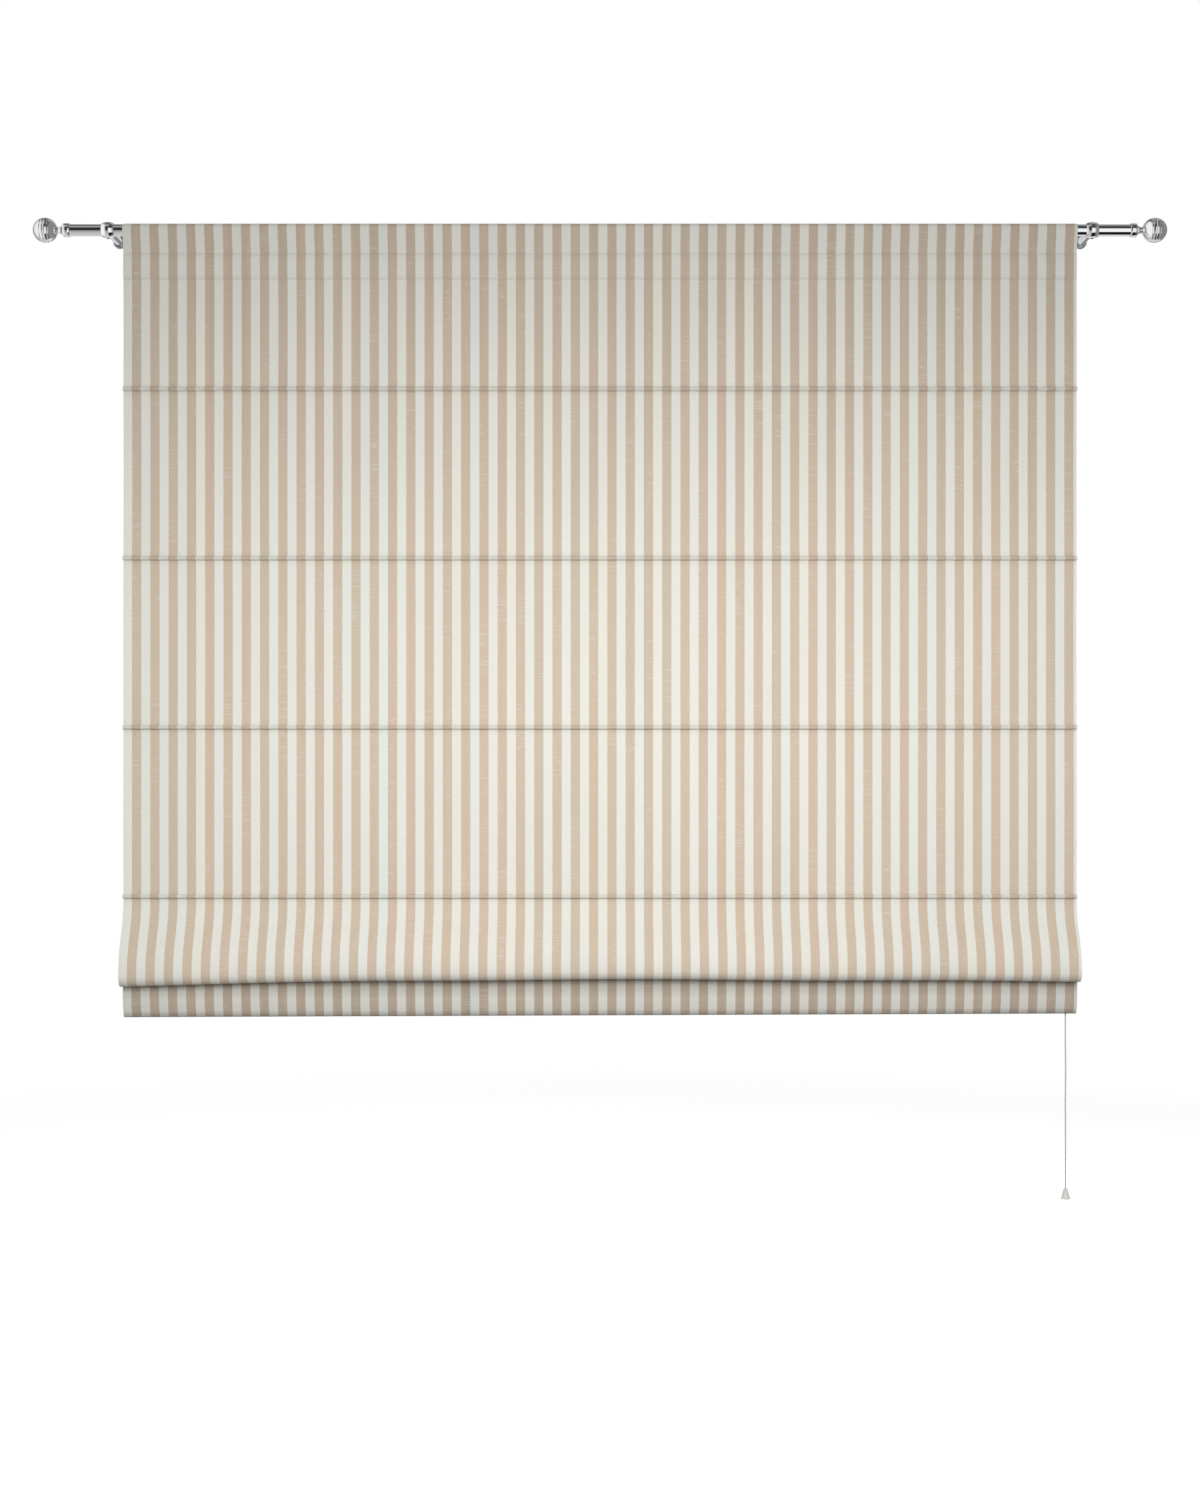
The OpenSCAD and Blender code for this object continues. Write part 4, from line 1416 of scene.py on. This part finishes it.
@dataclass
class Bar:
    """Flat weight bar in the hem, which leans with it. Sizes are in millimetres."""

    length: float = 1288.0  # Its length.
    height: float = 20.0  # Its height.
    thick: float = 3.0  # Its thickness.
    corner: float = 4.0  # Radius of its corners.
    edge: float = 0.3  # Width of its rounded edges.

    def rim(self) -> list[Point2]:
        """Outline of the bar, around its middle across and its foot."""
        right, r = self.length / 2 - self.corner, self.corner
        top = self.height - r
        corners = ((right, top), (-right, top), (-right, r), (right, r))
        return [p for k, centre in enumerate(corners) for p in arc(centre, r, 90 * k, 90 * k + 90, 8)]

    def build(self, cloth: Cloth, finishes: Finishes) -> None:
        """Builds the bar in the cloth's hem.

        Args:
            cloth: The cloth that holds it.
            finishes: The blind's materials.
        """
        y, z = cloth.hem_centre
        bm = bmesh.new()
        sheets = []
        for depth in (y - self.thick / 2, y + self.thick / 2):
            spots = [
                (x, depth + cloth.hem_swing(z + up), z + up + cloth.hem_lean(x)) for x, up in self.rim()
            ]
            sheets.append([bm.verts.new([c * MM for c in spot]) for spot in spots])
            bm.faces.new(sheets[-1])
        near, far = sheets
        for k in range(len(near)):
            bm.faces.new((near[k - 1], near[k], far[k], far[k - 1]))
        bmesh.ops.recalc_face_normals(bm, faces=bm.faces)
        sharp = [e for e in bm.edges if e.calc_face_angle(0) > 0.9]
        bmesh.ops.bevel(bm, geom=sharp, offset=self.edge * MM, segments=2, affect="EDGES")
        carry(new_piece("hem_bar", closed("bar", bm), finishes["bar"]), "bar", "bottom_bar")


@dataclass
class PullCord:
    """The pull cord with its bell. Sizes are in millimetres."""

    x: float = 638.5  # Where it hangs across the blind.
    top_y: float = -67.0  # Depth where it leaves the joiner.
    low_y: float = -58.7  # Depth of the bell.
    top: float = -102.5  # Height where it starts, inside the joiner.
    low: float = -1315.5  # Height of its knot.
    end: float = 3.0  # How far it goes on below the knot.
    leaves: float = -111.5  # Height of the joiner's foot.
    radius: float = 1.0  # Its radius.
    strands: int = 4  # Number of its strands.
    lay: float = 9.0  # Length of one turn of its strands.
    step: float = 1.5  # Distance between its points.
    sides: int = 12  # Number of points around it.
    bell_z: float = -1324.5  # Height of the bell's mouth.
    bell_r: float = 6.5  # Radius of that mouth.
    bell_h: float = 15.0  # Height of the bell.
    bell_wall: float = 1.4  # Wall of the bell.
    bell_crown: float = 3.0  # Thickness of its crown.
    bell_ease: float = 0.1  # Gap between its hole and the cord.
    bell_sides: int = 48  # Number of steps around it.

    # Points of its line: millimetres to the right, share of the way back, share of the way down.
    LINE = (
        (0, 0, 0), (0, 0, 0.02), (0.2, 0.02, 0.06), (0.3, 0.06, 0.12), (0.2, 0.12, 0.18), (0, 0.2, 0.25),
        (-0.2, 0.3, 0.32), (-0.3, 0.42, 0.39), (-0.2, 0.55, 0.46), (0, 0.68, 0.53), (0.2, 0.8, 0.6),
        (0.3, 0.92, 0.67), (0.2, 1, 0.73), (0, 1, 0.78), (-0.3, 1, 0.82), (0.2, 1, 0.86), (-0.2, 1, 0.9),
        (0, 1, 0.94), (0, 1, 0.97), (0, 1, 0.99), (0, 1, 1),
    )

    # How much thicker the knot is, how far down its middle lies and how far it reaches from there.
    KNOT, KNOT_DOWN, KNOT_REACH = 0.7, 1.2, 1.8

    # Radius between the strands and how far a strand stands out, as shares of the cord's radius.
    CORE, STRAND = 0.95, 0.08

    def route(self) -> np.ndarray:
        """Points along the cord, from the joiner down into the bell, in millimetres."""
        foot = self.low - self.end
        given = np.array(self.LINE) * (1, self.low_y - self.top_y, self.low - self.top)
        given = np.vstack([given + (self.x, self.top_y, self.top), (self.x, self.low_y, foot)])[::-1]
        down = np.arange(self.top, foot, -self.step)
        x, y = (np.interp(down, given[:, 2], given[:, k]) for k in (0, 1))
        return np.stack([x, y, down], axis=1)

    def rope(self, route: np.ndarray) -> Mesh:
        """Builds the cord of twisted strands, with its knot.

        Args:
            route: Its points, in millimetres.

        Returns:
            The mesh.
        """
        around = np.arange(self.sides) * math.tau / self.sides
        x, y, z = (route[:, k, None] for k in range(3))
        off_knot = np.abs(z - self.low + self.KNOT_DOWN)
        swell = self.KNOT * np.clip(1 - off_knot / self.KNOT_REACH, 0.0, None)
        twist = self.strands * around - z / self.lay * math.tau
        r = self.radius * (1 + swell) * (self.CORE + self.STRAND * np.cos(twist))
        x, y, z = np.broadcast_arrays(x + r * np.cos(around), y + r * np.sin(around), z)
        rows = np.stack([x, y, z], axis=2)
        bm = bmesh.new()
        verts = [[bm.verts.new(p) for p in row] for row in (rows * MM).tolist()]
        for a, b in zip(verts, verts[1:]):
            for k in range(self.sides):
                bm.faces.new((a[k - 1], b[k - 1], b[k], a[k]))
        for end in (verts[0], verts[-1]):
            bm.faces.new(end)
        return closed("rope", bm, angle=60)

    def bell_profile(self) -> list[Point2]:
        """Profile of the bell, with a lip and a bead at its crown."""
        r, h, w = self.bell_r, self.bell_h, self.bell_wall
        hole, under = self.radius + self.bell_ease, self.bell_h - self.bell_crown
        lip = [(r - w, 0.2), (r - w + 0.2, 0.0), (r - 0.3, 0.0), (r, 0.3), (r, 1.0)]
        outer = curve((r, 1.0), (r * 0.75, h * 0.3), (r * 0.62, h * 0.6), (hole + 1.2, h - 0.6), 18)
        bead = [(hole + 0.9, h - 0.1), (hole + 0.5, h), (hole, h), (hole, under)]
        inner = curve((hole, under), (r * 0.62 - w, under), (r * 0.7 - w, h * 0.3), (r - w, 0.5), 14)
        return [*lip, *outer, *bead, *inner[:-1]]

    def build(self, finishes: Finishes) -> None:
        """Args:
            finishes: The blind's materials.
        """
        route = self.route()
        place = (self.x, self.low_y, self.bell_z)
        mesh = turned(self.bell_profile(), Axis.Z, place, self.bell_sides, ring=True)
        piece = new_piece("cord_bell_moulded", mesh, finishes["ring_plastic"])
        bell = carry(piece, "ring_plastic", "cord_bell")
        piece = new_piece("pull_cord_twisted", self.rope(route), finishes["white_cord"])
        cord = carry(piece, "white_cord", "pull_cord")


@dataclass
class Rings:
    """Thread that ties the cord rings to the cloth. Sizes are in millimetres."""

    columns: tuple[float, ...] = (-580.0, -193.333, 193.333, 580.0)  # Where the rings lie across.
    depth: float = -74.0  # Where a ring meets the cloth.
    turns: tuple[float, ...] = (-0.7, 0.0, 0.7)  # Turns of thread, off the middle of a ring.

    def tying(self) -> Growth:
        """Builds the tree that sets a tie of thread at each point.

        Returns:
            The tree.
        """
        tree = Growth("ring_ties", {"Tie Radius": 0.0014, "Thread Radius": 0.0003})
        circle = "GeometryNodeCurvePrimitiveCircle"
        loop = tree.node(circle, Resolution=14, Radius=tree.given["Tie Radius"]).outputs["Curve"]
        yarn = tree.node(circle, Resolution=6, Radius=tree.given["Thread Radius"]).outputs["Curve"]
        tube = tree.node("GeometryNodeCurveToMesh", Curve=loop, Profile_Curve=yarn).outputs[0]
        stood = tree.node("GeometryNodeTransform", Geometry=tube, Rotation=(0.0, math.pi / 2, 0.0))
        tree.set_on(tree.given["Geometry"], stood.outputs[0])
        return tree

    def build(self, cloth: Cloth, finishes: Finishes) -> None:
        """Ties each ring with three turns of thread.

        Args:
            cloth: The cloth that they are tied to, at its open tucks.
            finishes: The blind's materials.
        """
        spots = [
            ((x + turn) * MM, self.depth * MM, z * MM)
            for z in cloth.tucks for x in self.columns for turn in self.turns
        ]
        mesh = bpy.data.meshes.new("spots")
        mesh.from_pydata(spots, [], [])
        carry(self.tying().run("ring_ties", linked("spots", mesh), finishes["thread"]), "white_cord")


@dataclass
class KeptSolids:
    """Solids that keep their shape and get a finish."""

    # Finish of each node by the start of its name.
    slots: dict[str, str] = field(
        default_factory=lambda: {
            "left_grub_screw": "steel", "right_grub_screw": "steel", "head_slat": "pine",
            "batten_": "fibreglass", "ring_row_": "ring_plastic", "cord_guides": "steel",
            "lock_housing": "lock_plastic", "lock_pulley_pin": "steel", "lock_pawl_pin": "steel",
            "lock_pulley": "lock_plastic", "lock_pawl": "lock_plastic", "lock_screws": "steel",
            "lift_cord_": "white_cord", "cord_joiner": "ring_plastic",
        }
    )

    def build(self, finishes: Finishes) -> None:
        """Puts the finishes on the solids.

        Args:
            finishes: The blind's materials.
        """
        for name, node in frame["nodes"].items():
            slot = next((s for start, s in self.slots.items() if name.startswith(start)), None)
            if slot is None:
                continue
            if node.material_slots:
                for held in node.material_slots:
                    held.material = finishes[slot]
            else:
                node.data.materials.append(finishes[slot])
            LOG.info("solid %s in %s", name, slot)


@dataclass(frozen=True)
class Lamp:
    """A soft box that only lights. Sizes are in metres."""

    name: str  # Name of the lamp.
    place: tuple[float, float, float]  # Where it stands.
    aim: tuple[float, float, float]  # What it points at.
    size: Point2  # Its width and height.
    watts: float  # Its power.
    spread: float = 180.0  # Width of its beam, in degrees.

    def build(self) -> None:
        """Adds the lamp."""
        data = bpy.data.lights.new(self.name, "AREA")
        data.spread = math.radians(self.spread)
        data.shape = "RECTANGLE"
        data.size, data.size_y = self.size
        data.energy = self.watts
        made = linked(self.name, data)
        made.location = self.place
        made.rotation_mode = "QUATERNION"
        made.rotation_quaternion = (Vector(self.aim) - Vector(self.place)).to_track_quat("-Z", "Y")
        made.visible_camera = made.visible_glossy = False


@dataclass
class Studio:
    """Camera, lamps, world and floor. Sizes are in metres."""

    distance: float = 3.0  # Camera to the cloth's panels.
    panels_y: float = -0.0755  # Where the cloth's panels lie.
    eye: float = -0.709  # Height of the camera.
    view: float = 2.046  # Height of what the camera sees at the panels.
    sensor: float = 36.0  # Height of its picture, in millimetres.
    floor: float = -1.62  # Height of the floor.
    floor_radius: float = 4.0  # Radius of the floor.
    # Distances from the middle where the floor starts to fade and where it is gone.
    fades: Point2 = (1.2, 3.2)
    # The soft boxes.
    lamps: tuple[Lamp, ...] = (
        Lamp("key", (0.09, -1.75, -0.46), (0.0, -0.08, -0.74), (2.2, 0.7), 9.9, 92.0),
        Lamp("rear", (0.6, 1.9, 0.3), (0.0, 0.0, -0.6), (2.0, 1.2), 42.0),
    )
    # What polished metal shows at the left, by angle above the front in degrees.
    left_panels: tuple[Point2, ...] = (
        (-180, 0.7), (180, 0.7), (-120, 0.64), (-75, 0.55), (-45, 0.5), (-30, 0.36), (-14, 0.25),
        (-8, 0.03), (40, 0.03), (46, 0.25), (60, 0.43), (72, 0.43), (80, 0.15), (130, 0.12), (150, 0.5),
    )
    # What it shows at the right.
    right_panels: tuple[Point2, ...] = (
        (-180, 0.25), (180, 0.7), (-154, 0.25), (-148, 0.85), (-112, 0.85), (-107, 0.01), (-46, 0.01),
        (-42, 1.0), (18, 1.0), (24, 0.05), (85, 0.1), (95, 0.35), (130, 0.4), (160, 0.65),
    )
    left_end: float = 1.0  # What it shows far to the left.
    left_fall: float = 0.7  # How much of that is lost towards the back.
    right_end: float = 0.26  # What it shows far to the right.

    DUST = Grain((30, 30), 3.0, (0.3, 0.8))

    def camera(self) -> None:
        """Sets up the camera, level and square to the blind."""
        data = bpy.data.cameras.new("camera")
        data.sensor_width = self.sensor
        data.lens = self.sensor * self.distance / self.view
        data.clip_end = 100.0
        made = linked("camera", data)
        made.location = (0.0, self.panels_y - self.distance, self.eye)
        made.rotation_euler = (math.pi / 2, 0.0, 0.0)
        bpy.context.scene.camera = made

    @staticmethod
    def ramp(maker: NodeMaker, along: Num, stops: Sequence[Point2]) -> Num:
        """Grades brightness along a value.

        Args:
            maker: Tree that the ramp belongs to.
            along: Value from 0 to 1.
            stops: Angles from -180 to 180 degrees, with their brightness.

        Returns:
            The brightness.
        """
        node = maker.node("ShaderNodeValToRGB")
        maker.put(node.inputs[0], along)
        marks = node.color_ramp.elements
        for k, (angle, level) in enumerate(stops):
            place = angle / 360 + 0.5
            mark = marks[k] if k < 2 else marks.new(place)
            mark.position = place
            mark.color = (level, level, level, 1.0)
        return maker.num(node)

    def panels(self, maker: NodeMaker, x: Num, y: Num, z: Num) -> Num:
        """Gives what polished metal shows in a direction.

        Args:
            maker: The world's tree.
            x: Direction to the right.
            y: Direction to the back.
            z: Direction upwards.

        Returns:
            The brightness.
        """
        round_rod = z.maths("ARCTAN2", y * -1.0) / math.tau + 0.5
        left = self.ramp(maker, round_rod, self.left_panels)
        right = self.ramp(maker, round_rod, self.right_panels)
        side, far_left, far_right = x.above(-0.03, 0.03), x.above(-0.3, -0.55), x.above(0.35, 0.6)
        level = left * (1 - side) + right * side
        end = (1 - y.above(0.05, 0.7) * self.left_fall) * self.left_end
        level = level * (1 - far_left) + far_left * end
        return level * (1 - far_right) + far_right * self.right_end

    def world(self) -> None:
        """Makes a white surround, with grey and dark panels that only polished metal shows."""
        world = bpy.data.worlds.new("studio")
        world.use_nodes = True
        bpy.context.scene.world = world
        maker = NodeMaker(world.node_tree)
        maker.tree.nodes.clear()
        x, y, z = maker.axes(maker.node("ShaderNodeTexCoord").outputs["Generated"])
        ray = maker.node("ShaderNodeLightPath")
        kinds = ("Is Camera Ray", "Is Glossy Ray", "Is Transmission Ray")
        seen, glossy, through = (maker.num(ray, kind) for kind in kinds)
        show = (seen + glossy + through).clamped()
        sky = z.above(-0.15, 0.45) * 0.13 + 0.24
        level = seen + (show - seen) * self.panels(maker, x, y, z) + (1 - show) * sky
        back = maker.node("ShaderNodeBackground", Color=(1.0, 1.0, 1.0), Strength=level)
        maker.node("ShaderNodeOutputWorld", Surface=back.outputs[0])

    def ground(self) -> None:
        """Lays a pale floor that fades out with distance."""
        sh = Shader("floor")
        x, y, _ = sh.place()
        far = (x * x + y * y).maths("SQRT")
        dust = sh.marks((x, y), self.DUST)
        sh.dress(
            Base_Color=sh.mixed(dust, linear(246, 246, 245), linear(240, 240, 239)),
            Roughness=0.9,
            Emission_Color=(1.0, 1.0, 1.0),
            Emission_Strength=0.5,
        )
        clear = sh.node("ShaderNodeBsdfTransparent")
        fade = sh.node("ShaderNodeMixShader")
        mixed = (far.above(*self.fades), sh.surface.outputs[0], clear.outputs[0])
        for slot, value in zip(fade.inputs, mixed):
            sh.put(slot, value)
        sh.put(sh.out.inputs["Surface"], fade.outputs[0])
        rim = arc((0.0, 0.0), self.floor_radius, 0, 360, 64)[:-1]
        mesh = bpy.data.meshes.new("floor")
        mesh.from_pydata([(*p, self.floor) for p in rim], [], [tuple(range(len(rim)))])
        made = new_piece("floor", mesh, sh.material)
        made.visible_diffuse = made.visible_glossy = False

    def light(self) -> None:
        """Sets the lamps, the world and the view transform."""
        self.world()
        for lamp in self.lamps:
            lamp.build()
        bpy.context.scene.view_settings.view_transform = "Standard"


def main() -> None:
    """Builds the studio and the blind, piece by piece."""
    logging.basicConfig(level=logging.INFO, format="%(name)s: %(message)s")
    studio = Studio()
    studio.camera()
    cloth = Cloth()
    finishes = Finishes()
    finishes.build(cloth.runs())
    PullCord().build(finishes)
    tube = Rod().build(finishes)
    Brackets().build(finishes)
    cloth.build(finishes, tube)
    Bar().build(cloth, finishes)
    Rings().build(cloth, finishes)
    KeptSolids().build(finishes)
    studio.ground()
    studio.light()


if __name__ == "__main__":
    main()
